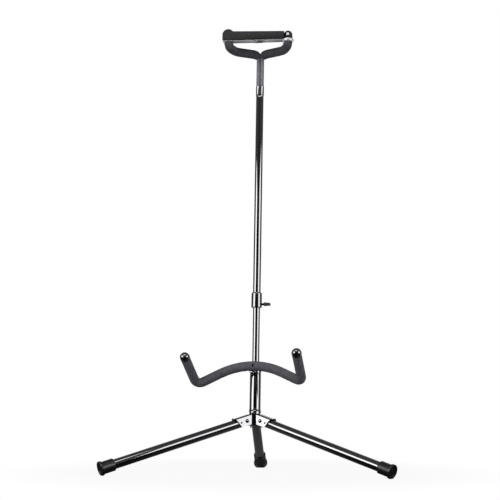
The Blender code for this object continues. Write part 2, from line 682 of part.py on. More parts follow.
def crimped(stations, sides=32):
    """A closed loft up Z from round to two lobes; each station is height, lobed share, scale."""
    lobe = ROD_OD / 2 + CLEAR + FERRULE_WALL
    offset = ROD_SPACING / 2
    mesh = bpy.data.meshes.new("crimped")
    work = bmesh.new()
    rings = []
    for height, share, scale in stations:
        ring = []
        for k in range(sides):
            angle = 2 * math.pi * k / sides
            c, s = math.cos(angle), math.sin(angle)
            lobed = Vector((math.copysign(offset, c) * min(1, 2.2 * abs(c)) + lobe * c, lobe * s, 0))
            lobed.y *= 1 - 0.16 * max(0, 1 - 3 * abs(c))
            spot = Vector((c, s, 0)) * (UPPER_OD / 2) * (1 - share) + lobed * share
            ring.append(work.verts.new((spot.x * scale, spot.y * scale, height)))
        rings.append(ring)
    for low, high in zip(rings, rings[1:]):
        for k in range(sides):
            j = (k + 1) % sides
            work.faces.new((low[k], low[j], high[j], high[k]))
    work.faces.new(list(reversed(rings[0])))
    work.faces.new(rings[-1])
    work.to_mesh(mesh)
    work.free()
    return mesh


def eye_boss(play=0.0):
    """The cupped boss under the gate's eye, on its axis; play swells it for its seat."""
    rim = BOSS_OD / 2
    shape = [(rim * math.cos(a) ** 0.6, -BOSS_DEPTH * math.sin(a)) for a in
             (math.radians(v) for v in (0, 16, 32, 46, 60))]
    profile = [(0.0, 0.5 * MM)] + [(radius + play, height - play) for radius, height in shape]
    profile[1] = (rim + play, 0.5 * MM)
    return turned(profile + [(0.0, -BOSS_DEPTH - play)])


def build_yoke(shop, mast):
    """Crimped ferrule, two bent rods, their foam and their end caps."""
    seat = UPPER_TOP + CLEAR
    top = seat + FERRULE_LENGTH
    spigot = UPPER_OD / 2 - UPPER_WALL - CLEAR
    shape = [(0.0, 0.0, 0.94), (0.03, 0.0, 1.0), (0.22, 0.12, 1.0), (0.42, 0.5, 1.0),
             (0.62, 0.88, 1.0), (0.8, 1.0, 1.0), (0.96, 1.0, 1.0), (1.0, 1.0, 0.95)]
    ferrule = shop.piece("yoke_ferrule", crimped(
        [(seat + share * FERRULE_LENGTH, lobed, scale) for share, lobed, scale in shape]), shop.paint, mast)
    weld_on(ferrule, shop.cutter("ferrule_spigot", cylinder(
        spigot, seat - FERRULE_SPIGOT, seat + FERRULE_LENGTH / 10), mast))
    socket = top - FERRULE_SOCKET

    for hand, side in ((-1, "left"), (1, "right")):
        elbow_width, elbow_forward, elbow_up = YOKE_ELBOW
        tip_width, tip_forward = YOKE_TIP
        seat_level = YOKE_LEVEL + PLATE_RISE
        rod_top = seat_level + PLATE_THICK + CLEAR + CAP_GRIP
        corners = [(hand * ROD_SPACING / 2, 0, socket + CLEAR), (hand * ROD_SPACING / 2, 0, YOKE_LEVEL),
                   (hand * elbow_width, -elbow_forward, YOKE_LEVEL + elbow_up),
                   (hand * tip_width, -tip_forward, YOKE_LEVEL + elbow_up),
                   (hand * tip_width, -tip_forward, rod_top)]
        path = bent_path(corners, [V_RADIUS, ELBOW_RADIUS, TIP_RADIUS])
        shop.piece("yoke_rod_" + side, rod_mesh(path, ROD_OD, 4), shop.grey, mast)
        hole = cylinder(ROD_OD / 2 + CLEAR, socket, top + 5 * MM, FINE)
        cut(ferrule, shop.cutter("ferrule_hole_" + side, hole, mast, (hand * ROD_SPACING / 2, 0, 0)))

        bare = (Vector(corners[1]) - Vector(corners[0])).length - FOAM_OD * 0.45
        above = CAP_GRIP + CLEAR + PLATE_THICK + CLEAR
        drawn = [FOAM_DRAW + (1 - FOAM_DRAW) * math.sin(k * math.pi / 10) for k in range(6)]
        foam = foam_sleeve(shop, "yoke_foam_" + side, shortened(path, bare, above), shop.foam, mast,
                           drawn)
        half = FOAM_OD
        wall = block((half, 2 * FOAM_OD, 4 * FOAM_OD), (-hand * (half / 2 - CLEAR / 2), 0, YOKE_LEVEL))
        cut(foam, shop.cutter("foam_mitre_" + side, wall, mast))
        if side == "right":
            cut(foam, shop.cutter("boss_seat", eye_boss(CLEAR), mast,
                                  (tip_width, -tip_forward, seat_level + CLEAR / 2)))
        end_cap(shop, "yoke_cap_" + side, mast,
                (hand * tip_width, -tip_forward, seat_level + PLATE_THICK + CLEAR), Vector((0, 0, 1)),
                CAP_LENGTH)


def build_gate(shop, mast):
    """The bar that swings across the yoke, in a frame on the right arm's tip."""
    tip_width, tip_forward = YOKE_TIP
    level = YOKE_LEVEL + PLATE_RISE
    swing = shop.frame("gate_axis", mast, (tip_width, -tip_forward, level), (0, 0, 0))
    span = 2 * tip_width
    half = PLATE_WIDTH / 2
    eye = EYE_OD / 2
    lean_in = math.degrees(math.asin(half / eye))
    left = -span - PLATE_OVERHANG
    outline = arc((0, 0), eye, -180 + lean_in, 180 - lean_in, 20)
    outline += arc((left + 4 * MM, half - 4 * MM), 4 * MM, 90, 180, 4)
    outline += arc((left + 4 * MM, 4 * MM - half), 4 * MM, 180, 270, 4)
    plate = shop.piece("gate_plate", flat_mesh(
        outline, PLATE_THICK, Matrix.Translation((0, 0, PLATE_THICK / 2 + CLEAR / 2))), shop.zinc, swing)
    weld_on(plate, shop.cutter("gate_eye_boss", eye_boss(), swing, (0, 0, CLEAR / 2)))
    hole = ROD_OD / 2 + CLEAR
    bore = [(0.0, 5 * PLATE_THICK), (hole, 5 * PLATE_THICK), (hole, CLEAR / 2),
            (hole + 2 * BOSS_FLARE, -2 * BOSS_DEPTH), (0.0, -2 * BOSS_DEPTH)]
    cut(plate, shop.cutter("gate_eye_hole", turned(bore, FINE), swing))
    slot_half = ROD_OD / 2 + TIP_PLAY
    slot = shop.cutter("gate_slot", flat_mesh(
        arc((-span, 0), slot_half, 180, 360, 8) + [(slot_half - span, EYE_OD), (-slot_half - span, EYE_OD)],
        5 * PLATE_THICK), swing)
    cut(plate, slot)

    floor_level = PLATE_THICK + CLEAR / 2 + CLEAR
    hood_half = FOAM_OD / 2 + HOOD_PLAY + HOOD_WALL
    hood_left = -span - hood_half
    cap_room = FOAM_OD / 2 + 2 * CLEAR
    bar_right = -cap_room
    top = floor_level + BAR_HEIGHT
    pocket_top = floor_level + CAP_LENGTH + HOOD_PLAY
    arch = pocket_top + HOOD_WALL
    side_view = [(hood_left, floor_level)]
    meet = math.degrees(math.asin((top - arch + hood_half) / hood_half))
    side_view += arc((-span, arch - hood_half), hood_half, 180, meet, 10)
    side_view += [(bar_right, top - BAR_TAPER), (bar_right, floor_level)]
    stand_up = Matrix.Translation((0, (half - hood_half) / 2, 0)) @ Matrix.Rotation(math.pi / 2, 4, 'X')
    bar = shop.piece("gate_bar", flat_mesh(side_view, half + hood_half, stand_up), shop.rubber, swing)
    round_off = bar.modifiers.new("rounded edges", 'BEVEL')
    round_off.width = BAR_ROUND
    round_off.segments = 2
    round_off.angle_limit = math.radians(50)
    pocket_half = FOAM_OD / 2 + HOOD_PLAY
    pocket = cylinder(pocket_half, floor_level - 5 * MM, pocket_top, ROUND)
    cut(bar, shop.cutter("hood_pocket_round", pocket, swing, (-span, 0, 0)))
    opening = block((2 * pocket_half, EYE_OD, pocket_top - floor_level + 5 * MM),
                    (-span, EYE_OD / 2, (pocket_top + floor_level - 5 * MM) / 2))
    cut(bar, shop.cutter("hood_pocket_back", opening, swing))
    cut(bar, shop.cutter("cap_room", cylinder(cap_room, -EYE_OD, 2 * EYE_OD), swing))
    slim = block((span, hood_half, 3 * BAR_HEIGHT), (hood_half - span / 2, half + hood_half / 2, BAR_HEIGHT))
    cut(bar, shop.cutter("bar_back", slim, swing))

    under = CLEAR / 2 - CLEAR - CLIP_THICK / 2
    clip = shop.piece("gate_clip", block((CLIP_WIDTH, CLIP_DEPTH, CLIP_THICK),
                                         (-span / 2, -half + CLIP_DEPTH / 2, under), 0.4 * MM, 1),
                      shop.plastic, swing)
    for k in (-1, 0, 1):
        stud = cylinder(1.8 * MM, under - 1.6 * MM, under, 12, 2.2 * MM)
        weld_on(clip, shop.cutter("clip_stud_%d" % (k + 1), stud, swing,
                                  (-span / 2 + k * CLIP_WIDTH * 0.3, -half + CLIP_DEPTH * 0.62, 0)))


def centre_on_footprint(shop, stand):
    """Moves the stand so that its origin lies under the middle of its box."""
    bpy.context.view_layer.update()
    graph = bpy.context.evaluated_depsgraph_get()
    depth = []
    for obj in shop.parts.objects:
        evaluated = obj.evaluated_get(graph)
        mesh = evaluated.to_mesh()
        depth += [(obj.matrix_world @ vert.co).y for vert in mesh.vertices]
        evaluated.to_mesh_clear()
    stand.location.y -= (min(depth) + max(depth)) / 2


def main():
    clear_scene()
    shop = Workshop()
    stand = shop.frame("stand")
    mast = shop.frame("mast_axis", stand, (0, 0, PIVOT_HEIGHT), (-LEAN, 0, 0))
    floor = shop.cutter("floor", block((2.0, 2.0, 0.1), (0, 0, -0.05)), stand)
    ahead = -math.pi / 2
    legs = [("front_left", ahead - FRONT_SPREAD, FRONT_DROP),
            ("front_right", ahead + FRONT_SPREAD, FRONT_DROP),
            ("rear", ahead + math.pi, REAR_DROP)]
    for side, azimuth, drop in legs:
        build_leg(shop, mast, floor, side, azimuth, drop)
    build_hub(shop, mast, legs)
    build_post(shop, mast)
    build_mast(shop, mast)
    build_cradle(shop, mast)
    build_yoke(shop, mast)
    build_gate(shop, mast)
    centre_on_footprint(shop, stand)


main()
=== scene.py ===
"""Looks of a folding guitar stand: gloss black tubes, foam sleeves, a gated neck yoke.

Everything is in metres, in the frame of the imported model. The mast leans back, and most pieces
are shaped in the mast's own frame: X across, -Y forward, Z along the mast, zero at the leg pivots.
"""

import json
import math

import bpy
from bpy.props import FloatProperty, FloatVectorProperty, PointerProperty
from mathutils import Matrix, Vector


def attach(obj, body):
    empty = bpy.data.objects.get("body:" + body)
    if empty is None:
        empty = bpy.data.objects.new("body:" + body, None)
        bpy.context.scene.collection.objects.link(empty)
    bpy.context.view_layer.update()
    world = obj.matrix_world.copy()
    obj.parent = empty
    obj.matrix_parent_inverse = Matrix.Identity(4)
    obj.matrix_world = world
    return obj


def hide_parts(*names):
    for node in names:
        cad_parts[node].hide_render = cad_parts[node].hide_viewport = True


bl_info = {
    "name": "Guitar stand",
    "version": (1, 0, 0),
    "blender": (4, 5, 0),
    "location": "View3D > Sidebar > Guitar stand",
    "description": "Builds the visible pieces and finishes of a folding guitar stand on its frame",
    "category": "Add Mesh",
}

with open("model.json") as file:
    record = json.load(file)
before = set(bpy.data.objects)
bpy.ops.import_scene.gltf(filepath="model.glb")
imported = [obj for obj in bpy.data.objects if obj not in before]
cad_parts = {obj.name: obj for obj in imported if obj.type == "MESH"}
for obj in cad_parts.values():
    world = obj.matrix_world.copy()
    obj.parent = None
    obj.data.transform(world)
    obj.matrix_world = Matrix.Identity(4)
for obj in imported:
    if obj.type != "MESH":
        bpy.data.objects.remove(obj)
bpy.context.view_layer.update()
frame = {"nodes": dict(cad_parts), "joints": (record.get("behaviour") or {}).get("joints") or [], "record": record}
JOINTS = {joint["name"]: joint for joint in frame["joints"]}
MM = 0.001
CLEAR = 0.3 * MM

# Legs and hub
PIVOT_RADIUS = 24.5 * MM
FRONT_SPREAD = math.radians(59.3)
FRONT_DROP = math.radians(19.5)
REAR_DROP = math.radians(35.4)
LEG_WALL = 1.2 * MM
FOOT_WALL = 3.05 * MM
FOOT_STEP = 2.2 * MM
FOOT_FLANGE = 6.0 * MM
FOOT_LENGTH = 33.0 * MM
FOOT_DISH = 2.5 * MM
FOOT_RIM = 3.5 * MM
FOOT_EDGE = 1.0 * MM
FOOT_FILLET = 0.6 * MM
FOOT_MOUTH = 2.0 * MM
DISH_FILLET = 0.8 * MM
DISH_LIP = 1.4 * MM
LEG_END_GAP = 3.0 * MM
FLOOR_FLAT = 0.5 * MM
CHEEK_GAP = 0.5 * MM
SHEET = 2.0 * MM
RIVET_OD = 5.0 * MM
RIVET_HEAD_OD = 9.0 * MM
RIVET_HEAD = 2.8 * MM
HUB_TOP = 23.21 * MM

# A turned shape without a bore ends on its axis in a flat facet of this radius
FACET = 0.3 * MM
FOOT_FACET = 0.4 * MM

# Along the mast, from the leg pivots
POST_TOP = 107.6 * MM
POST_WALL = 1.8 * MM
POST_EASE = 0.4 * MM
BELL_OD = 28.4 * MM
BELL_HEIGHT = 8.0 * MM
BELL_EDGE = 0.5 * MM
BELL_STEPS = 8
BUSH_DEPTH = 14.0 * MM
BUSH_FLANGE = 1.8 * MM
BUSH_EASE = 0.6 * MM
MID_TOP = 480.0 * MM
MID_WALL = 1.2 * MM
MID_IN_HUB = 8.0 * MM
COLLAR_OD = 24.6 * MM
COLLAR_LOW = 263.0 * MM
COLLAR_LENGTH = 36.4 * MM
COLLAR_CHAMFER = 2.5 * MM
COLLAR_STEP = 15.0 * MM
COLLAR_EDGE = 1.4 * MM
COLLAR_SLOPE = 1.4
SCREW_UP = 9.0 * MM
SCREW_OD = 5.6 * MM
SCREW_IN_WING = 8.0 * MM
THREAD_PITCH = 0.8 * MM
THREAD_DEPTH = 0.35 * MM
THREAD_START = 0.5 * MM
THREAD_END = 1.0 * MM
THUMB_NECK = 4.5 * MM
THUMB_LENGTH = 15.5 * MM
THUMB_SPAN = 22.0 * MM
THUMB_THICK = 8.5 * MM
THUMB_TIP_SHARE = 0.42
THUMB_NECK_SHARE = 0.5
THUMB_RIM = 2.6 * MM
THUMB_DISH = 0.5 * MM
THUMB_EDGE = 1.5 * MM
UPPER_TOP = 779.0 * MM
UPPER_WALL = 0.6 * MM
UPPER_EASE = 0.3 * MM

# Cradle: half width, forward and up the mast, in a frame turned about the mast
CRADLE_TURN = math.radians(-13.1)
CRADLE_APEX = (0.0, 26.0 * MM, 142.3 * MM)
CRADLE_BEND = (126.2 * MM, 44.5 * MM, 81.8 * MM)
CRADLE_TIP = (132.4 * MM, 112.6 * MM, 141.9 * MM)
CRADLE_CAP_LENGTH = 17.0 * MM
CRADLE_CAP_FULLER = 1.06
ARCH_RADIUS = 165.0 * MM
BEND_RADIUS = 15.0 * MM
CRADLE_SCREW_OD = 3.5 * MM
CRADLE_SCREW_HEAD_OD = 5.8 * MM
CRADLE_SCREW_HEAD = 2.4 * MM
CRADLE_SCREW_DOME = ((0.55, 2.2 * MM), (0.85, 1.5 * MM), (1.0, 0.6 * MM), (1.0, 0.0))

# Yoke and gate
FERRULE_LENGTH = 30.0 * MM
FERRULE_SOCKET = 20.0 * MM
FERRULE_WALL = 0.4 * MM
FERRULE_SIDES = 96
FERRULE_STEPS = 31
LOBE_WALL = 0.3 * MM
# shares of the ferrule's length: where its lobes begin, and over how much they form
LOBES_FROM = 0.04
LOBES_OVER = 0.26
# half its depth low down, as a share of the tube's radius
FERRULE_DEPTH = 0.95
# how fast a lobe leaves the valley between the two, how deep the valley is and how narrow
LOBE_BREADTH = 2.2
VALLEY = 0.34
VALLEY_BREADTH = 3
# the rods are drawn as thick as their spacing, so that no light shows between them
ROD_SPACING = 9.1 * MM
YOKE_LEVEL = 890.2 * MM
YOKE_ELBOW = (58.4 * MM, 22.2 * MM, 1.2 * MM)
YOKE_TIP = (71.5 * MM, 53.7 * MM)
YOKE_RADII = (13.0 * MM, 26.0 * MM, 11.2 * MM)
# the yoke's foam is drawn in where the rods part, and begins this share of its width lower
FOAM_DRAW = 0.7
FOAM_OUT = 12.0 * MM
FOAM_START = 0.45
FOAM_EDGE = 1.6 * MM
FOAM_PACE = 2.0 * MM
FOAM_ENDS = (0.0, 0.15, 0.5, 1.0)
FOAM_CLEAR_ENDS = 1.3
# foam in a tight bend ripples: depth, length per radian and the bend per point that ripples fully
RIPPLE = 0.012
RIPPLE_LENGTH = 1.3 * MM
RIPPLE_BEND = 0.12
PLATE_RISE = 12.8 * MM
PLATE_THICK = 2.0 * MM
CAP_LENGTH = 23.2 * MM
CAP_GRIP = 13.0 * MM
CAP_LIP = 0.7 * MM
CAP_MOUTH = 1.0 * MM
COVER_REACH = 2.6 * MM
COVER_END = 3.0 * MM

# Eased edges of the pieces that copy a solid
BRACKET_EASE = 0.3 * MM
PLATE_EASE = 0.35 * MM
CLIP_EASE = 0.2 * MM

# Meshes: points that merge, the turn per point of an arc, and edges that are eased or smoothed
WELD = 0.000005
SOLID_WELD = 0.00001
ARC_STEP = math.radians(6)
EASE_OVER = math.radians(28)
THUMB_EASE_OVER = math.radians(40)
SMOOTH_UNDER = math.radians(46)
BAR_SMOOTH_UNDER = math.radians(50)

# Stage: how the floor glows near the stand, and how bright mirrors see the floor and the room
WHITE = (1.0, 1.0, 1.0, 1.0)
FLOOR_GREY = "B4B4B4"
FLOOR_SIZE = 16.0
FLOOR_LEVEL = -0.2 * MM
FLOOR_GLOW = {"From Min": 0.36, "From Max": 0.6, "To Min": 0.93, "To Max": 1.0}
FLOOR_NEAR = {"From Min": -0.15, "From Max": 0.1, "To Min": 0.015, "To Max": 0.16}
FLOOR_SWEEP = {"From Min": 0.4, "From Max": 1.2, "To Min": 0.0, "To Max": 0.85}
ROOM_BEHIND = {"From Min": 0.35, "From Max": 1.0, "To Min": 0.0, "To Max": 0.5}
ROOM_ABOVE = {"From Min": 0.36, "From Max": 0.5, "To Min": 0.015, "To Max": 0.18}
ROOM_SIDES = {"From Min": 0.3, "From Max": 0.8, "To Min": 0.0, "To Max": 0.16}
# the room's share as light on the object, and what mirrors see on top of it
ROOM_LIGHT = 0.3
ROOM_MIRRORED = 0.55

# Lamps: compass angle, distance, lowest and highest edge, width, watts, tint and height aimed at
LAMPS = {"left_box": (-52, 2.2, 0.36, 1.58, 1.55, 34.0, (1.0, 1.0, 1.0), 0.85),
         "right_box": (64, 2.2, 0.36, 1.58, 1.55, 29.0, (0.96, 0.94, 1.0), 0.85),
         "front_overhead": (-3, 1.1, 1.76, 2.3, 1.6, 13.0, (1.0, 1.0, 1.0), 0.95)}

# Camera, fitted to the photograph: place in metres; yaw, pitch and roll in degrees
CAMERA_PLACE = (0.3078, -2.7567, 0.1882)
CAMERA_TURN = (-6.536, 6.4, 0.171)
CAMERA_REACH = 60.0
SENSOR = 36.0
FOCAL_PIXELS = 1224.4
PHOTO_PIXELS = 500

MAST_AXIS = Vector(JOINTS["height_slide"]["axis"]).normalized()
LEAN = math.asin(MAST_AXIS.y)
PIVOT = Vector(JOINTS["cradle_swivel"]["pos_m"]) - MAST_AXIS * POST_TOP
MAST = Matrix.Translation(PIVOT) @ Matrix.Rotation(-LEAN, 4, 'X')
CRADLE = MAST @ Matrix.Rotation(CRADLE_TURN, 4, 'Z')
SIDES = {"left": -1, "right": 1}
LEGS = {"front_left": (-math.pi / 2 - FRONT_SPREAD, FRONT_DROP),
        "front_right": (-math.pi / 2 + FRONT_SPREAD, FRONT_DROP),
        "rear": (math.pi / 2, REAR_DROP)}


# Sizes and colours

def linear(hex_colour):
    """An sRGB hex colour as the linear values that a shader wants."""
    parts = [int(hex_colour[i:i + 2], 16) / 255 for i in (0, 2, 4)]
    return [p / 12.92 if p <= 0.04045 else ((p + 0.055) / 1.055) ** 2.4 for p in parts] + [1.0]


def length(name, text, default):
    return FloatProperty(name=name, description=text, default=default, min=0.0, unit='LENGTH')


def colour(name, text, hex_colour):
    return FloatVectorProperty(name=name, description=text, default=linear(hex_colour)[:3],
                               subtype='COLOR', size=3, min=0.0, max=1.0)


class STAND_PG_sizes(bpy.types.PropertyGroup):
    """Sizes that the visible pieces share with the solids."""
    leg_diameter: length("Leg diameter", "Outside of each leg's tube", 21.3 * MM)
    post_diameter: length("Post diameter", "Outside of the lower post", 25.4 * MM)
    mid_diameter: length("Mid tube diameter", "Outside of the tube under the collar", 16.2 * MM)
    upper_diameter: length("Upper tube diameter", "Outside of the tube over the collar", 18.0 * MM)
    foam_diameter: length("Foam diameter", "Outside of the foam sleeves", 21.5 * MM)
    rod_diameter: length("Rod diameter", "Steel rod inside the foam", 8.8 * MM)
    edge_radius: length("Edge radius", "Eased edges of the pressed and moulded pieces", 0.45 * MM)


class STAND_PG_colours(bpy.types.PropertyGroup):
    """Colours of the finishes."""
    enamel: colour("Enamel", "Gloss black baked enamel", "040405")
    # the cradle and the yoke wear one foam: the yoke's colour is the same foam drawn darker, painted shade for the
    # weaker light up at the yoke
    foam: colour("Cradle foam", "Closed-cell foam sleeve of the cradle", "56565C")
    neck_foam_painted_shade: colour("Neck foam painted shade", "Closed-cell foam sleeves of the yoke", "404045")
    rubber: colour("Rubber", "Moulded rubber feet", "141416")
    plastic: colour("Plastic", "Gloss black moulded plastic", "0B0B0D")
    bar: colour("Gate bar", "Soft cover of the gate's bar", "0F0F12")
    grey_coat: colour("Grey coat", "Grey coat of the yoke's rods", "6A6A70")
    zinc: colour("Zinc", "Bright zinc plate", "DFE0E4")


def sizes():
    return bpy.context.scene.stand_sizes


def colours():
    return bpy.context.scene.stand_colours


# Finishes

def new_finish(name, constants):
    """A node material, its shader with constants on its own sockets, and its Object coordinates."""
    finish = bpy.data.materials.new(name)
    finish.use_nodes = True
    tree = finish.node_tree
    shader = tree.nodes["Principled BSDF"]
    for socket, value in constants.items():
        shader.inputs[socket].default_value = value
    return finish, tree, shader, {"Vector": node(tree, "ShaderNodeTexCoord").outputs["Object"]}


def join(tree, target, links):
    """Joins other nodes' outputs to a node's sockets."""
    for key, source in links.items():
        tree.links.new(source, target.inputs[key])


def node(tree, kind, settings=None, links=None):
    """Adds a node. Settings go on the node or on its sockets; links join its sockets to others."""
    added = tree.nodes.new(kind)
    for key, value in (settings or {}).items():
        if isinstance(key, str) and hasattr(added, key):
            setattr(added, key, value)
        else:
            added.inputs[key].default_value = value
    join(tree, added, links or {})
    return added


def casts(rgb, dark, light):
    """A colour mix between a darker and a lighter cast of one colour, on sockets 6 and 7."""
    return {"data_type": 'RGBA', 6: [c * dark for c in rgb] + [1.0],
            7: [min(1.0, c * light) for c in rgb] + [1.0]}


def skin(tree, shader, tint, gloss, relief):
    """Gives a finish its drifting colour, its roughness and its fine relief."""
    join(tree, shader, {"Base Color": tint.outputs[2], "Roughness": gloss.outputs["Result"],
                        "Normal": relief.outputs["Normal"]})


def gloss_enamel():
    """Baked enamel sprayed on drawn tube: near black, mirror-like, with a slight orange peel."""
    finish, tree, shader, where = new_finish("gloss_black_enamel", {
        "IOR": 1.6, "Specular IOR Level": 1.0, "Coat Weight": 1.0, "Coat IOR": 1.8,
        "Coat Roughness": 0.04})
    clouds = {"Scale": 1 / (30 * MM), "Detail": 2.0}
    cloud = node(tree, "ShaderNodeTexNoise", clouds, where).outputs["Fac"]
    # real orange peel is about 2 mm across; drawn at 5 mm so that it shows in the highlights
    peel = node(tree, "ShaderNodeTexNoise", {"Scale": 1 / (5 * MM), "Detail": 1.0}, where).outputs["Fac"]
    tint = node(tree, "ShaderNodeMix", casts(colours().enamel, 0.8, 1.3), {"Factor": cloud})
    gloss = node(tree, "ShaderNodeMapRange", {"To Min": 0.05, "To Max": 0.09}, {"Value": cloud})
    relief = node(tree, "ShaderNodeBump", {"Strength": 0.05, "Distance": 0.005 * MM}, {"Height": peel})
    skin(tree, shader, tint, gloss, relief)
    return finish


def closed_cell_foam(name, rgb):
    """Extruded nitrile foam: a matt skin of tiny cells, mottled where the skin is thin."""
    finish, tree, shader, where = new_finish(name, {"IOR": 1.45, "Specular IOR Level": 0.3})
    # real cells are about 0.5 mm; drawn at 2 mm so that the grain shows
    cells = node(tree, "ShaderNodeTexVoronoi", {"Scale": 1 / (2 * MM)}, where).outputs["Distance"]
    patches = {"Scale": 1 / (9 * MM), "Detail": 5.0, "Roughness": 0.62}
    mottle = node(tree, "ShaderNodeTexNoise", patches, where).outputs["Fac"]
    drift = node(tree, "ShaderNodeMapRange", {"From Min": 0.3, "From Max": 0.7}, {"Value": mottle})
    pores = node(tree, "ShaderNodeMath", {"operation": 'MULTIPLY_ADD', 1: 0.5}, {0: cells, 2: mottle})
    tint = node(tree, "ShaderNodeMix", casts(rgb, 0.78, 1.25), {"Factor": drift.outputs["Result"]})
    gloss = node(tree, "ShaderNodeMapRange", {"To Min": 0.62, "To Max": 0.9}, {"Value": mottle})
    relief = node(tree, "ShaderNodeBump", {"Strength": 0.5, "Distance": 0.35 * MM},
                  {"Height": pores.outputs[0]})
    skin(tree, shader, tint, gloss, relief)
    return finish


def moulded(name, rgb, roughness, grain, depth, constants):
    """A moulded finish: one colour, with a fine grain in its gloss and its surface."""
    finish, tree, shader, where = new_finish(name, constants)
    texture = node(tree, "ShaderNodeTexNoise", {"Scale": 1 / grain, "Detail": 3.0}, where).outputs["Fac"]
    tint = node(tree, "ShaderNodeMix", casts(rgb, 0.8, 1.25), {"Factor": texture})
    gloss = node(tree, "ShaderNodeMapRange", {"To Min": roughness * 0.75, "To Max": roughness * 1.25},
                 {"Value": texture})
    relief = node(tree, "ShaderNodeBump", {"Strength": 0.4, "Distance": depth}, {"Height": texture})
    skin(tree, shader, tint, gloss, relief)
    return finish


def gloss_abs():
    """Injection-moulded ABS, black and polished by its mould, a little wavy in its gloss."""
    return moulded("gloss_black_abs", colours().plastic, 0.08, 9 * MM, 0.006 * MM,
                   {"IOR": 1.58, "Specular IOR Level": 1.0, "Coat Weight": 1.0, "Coat IOR": 1.7})


def filled_nylon():
    """Glass-filled nylon, moulded: black, nearly matt, with a dry speckle from the fibres."""
    return moulded("glass_filled_nylon", colours().plastic, 0.5, 1.5 * MM, 0.04 * MM,
                   {"IOR": 1.53, "Specular IOR Level": 0.3})


def moulded_rubber():
    """Compression-moulded rubber: black, satin, with a fine bloom on its flats."""
    return moulded("moulded_black_rubber", colours().rubber, 0.34, 2.5 * MM, 0.05 * MM, {"IOR": 1.52})


def soft_cover():
    """Skinned polyurethane over the gate's bar: near black, matt, lightly pebbled."""
    return moulded("skinned_polyurethane", colours().bar, 0.55, 3 * MM, 0.12 * MM,
                   {"IOR": 1.5, "Specular IOR Level": 0.35})


def grey_coat():
    """Grey powder coat on bent rod: satin, with a faint wave in its surface."""
    return moulded("grey_powder_coat", colours().grey_coat, 0.28, 8 * MM, 0.01 * MM, {"IOR": 1.5})


def zinc_plate():
    """Bright zinc on pressed steel: pale, half metallic, cloudy, with faint rolling lines."""
    finish, tree, shader, where = new_finish("bright_zinc_plate", {"Metallic": 0.4})
    clouds = {"Scale": 1 / (6 * MM), "Detail": 4.0}
    cloud = node(tree, "ShaderNodeTexNoise", clouds, where).outputs["Fac"]
    # real rolling lines are about 0.3 mm apart; drawn at 1.5 mm
    drawn_out = node(tree, "ShaderNodeMapping", {"Scale": (0.05, 1.0, 1.0)}, where).outputs["Vector"]
    lines = node(tree, "ShaderNodeTexNoise", {"Scale": 1 / (1.5 * MM), "Detail": 2.0},
                 {"Vector": drawn_out}).outputs["Fac"]
    tint = node(tree, "ShaderNodeMix", casts(colours().zinc, 0.84, 1.08), {"Factor": cloud})
    gloss = node(tree, "ShaderNodeMapRange", {"To Min": 0.14, "To Max": 0.3}, {"Value": lines})
    relief = node(tree, "ShaderNodeBump", {"Strength": 0.15, "Distance": 0.03 * MM}, {"Height": lines})
    skin(tree, shader, tint, gloss, relief)
    return finish


FINISHES = {}


def make_finishes():
    FINISHES["enamel"] = gloss_enamel()
    FINISHES["foam"] = closed_cell_foam("closed_cell_foam", colours().foam)
    # the cradle's foam drawn darker for the yoke: painted shade
    FINISHES["neck foam painted shade"] = closed_cell_foam("closed_cell_foam_painted_shade", colours().neck_foam_painted_shade)
    FINISHES["rubber"] = moulded_rubber()
    FINISHES["plastic"] = gloss_abs()
    FINISHES["nylon"] = filled_nylon()
    FINISHES["bar"] = soft_cover()
    FINISHES["grey"] = grey_coat()
    FINISHES["zinc"] = zinc_plate()


def dress(piece, finish, body, slot, *solids):
    """Finishes a piece, and says what it moves with and which solids it stands for."""
    piece.data.materials.clear()
    piece.data.materials.append(FINISHES[finish])
    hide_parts(*solids)
    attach(piece, body)


# Modelling

def start_clean():
    """Object mode with nothing selected."""
    if bpy.context.object and bpy.context.object.mode != 'OBJECT':
        bpy.ops.object.mode_set(mode='OBJECT')
    bpy.ops.object.select_all(action='DESELECT')


def take(piece):
    """Selects one piece and nothing else."""
    start_clean()
    piece.select_set(True)
    bpy.context.view_layer.objects.active = piece


def settle(piece, where=Matrix.Identity(4)):
    """Puts a piece in its place and applies that place to its mesh."""
    take(piece)
    piece.matrix_world = where @ piece.matrix_world
    bpy.ops.object.transform_apply(location=True, rotation=True, scale=True)


def edit_whole():
    """Edit mode with the whole mesh selected."""
    bpy.ops.object.mode_set(mode='EDIT')
    bpy.ops.mesh.select_all(action='SELECT')


def tidy_mesh():
    """Merges doubles and turns faces outwards on the piece being edited, then leaves edit mode."""
    bpy.ops.mesh.select_all(action='SELECT')
    bpy.ops.mesh.remove_doubles(threshold=WELD)
    bpy.ops.mesh.normals_make_consistent(inside=False)
    bpy.ops.object.mode_set(mode='OBJECT')


def turned(name, profile, where, sides=64, angle=32):
    """A (radius, height) profile turned about Z, ring by ring; a bore closes it on itself."""
    start_clean()
    radius, height = profile[0]
    closed = profile[0] == profile[-1]
    bpy.ops.mesh.primitive_circle_add(vertices=sides, radius=radius, location=(0, 0, height),
                                      fill_type='NOTHING' if closed else 'NGON')
    piece = bpy.context.object
    piece.name = name
    edit_whole()
    for (before, low), (after, high) in zip(profile, profile[1:]):
        bpy.ops.mesh.extrude_region_move(TRANSFORM_OT_translate={"value": (0, 0, high - low)})
        bpy.ops.transform.resize(value=(after / before, after / before, 1.0))
    tidy_mesh()
    bpy.ops.object.shade_smooth_by_angle(angle=math.radians(angle))
    settle(piece, where)
    return piece


def rounded(centre, size, start, end, steps=4):
    """A round in a profile, about its centre, between two angles in degrees."""
    radius, height = centre
    return [(radius + size * math.cos(math.radians(start + (end - start) * k / steps)),
             height + size * math.sin(math.radians(start + (end - start) * k / steps)))
            for k in range(steps + 1)]


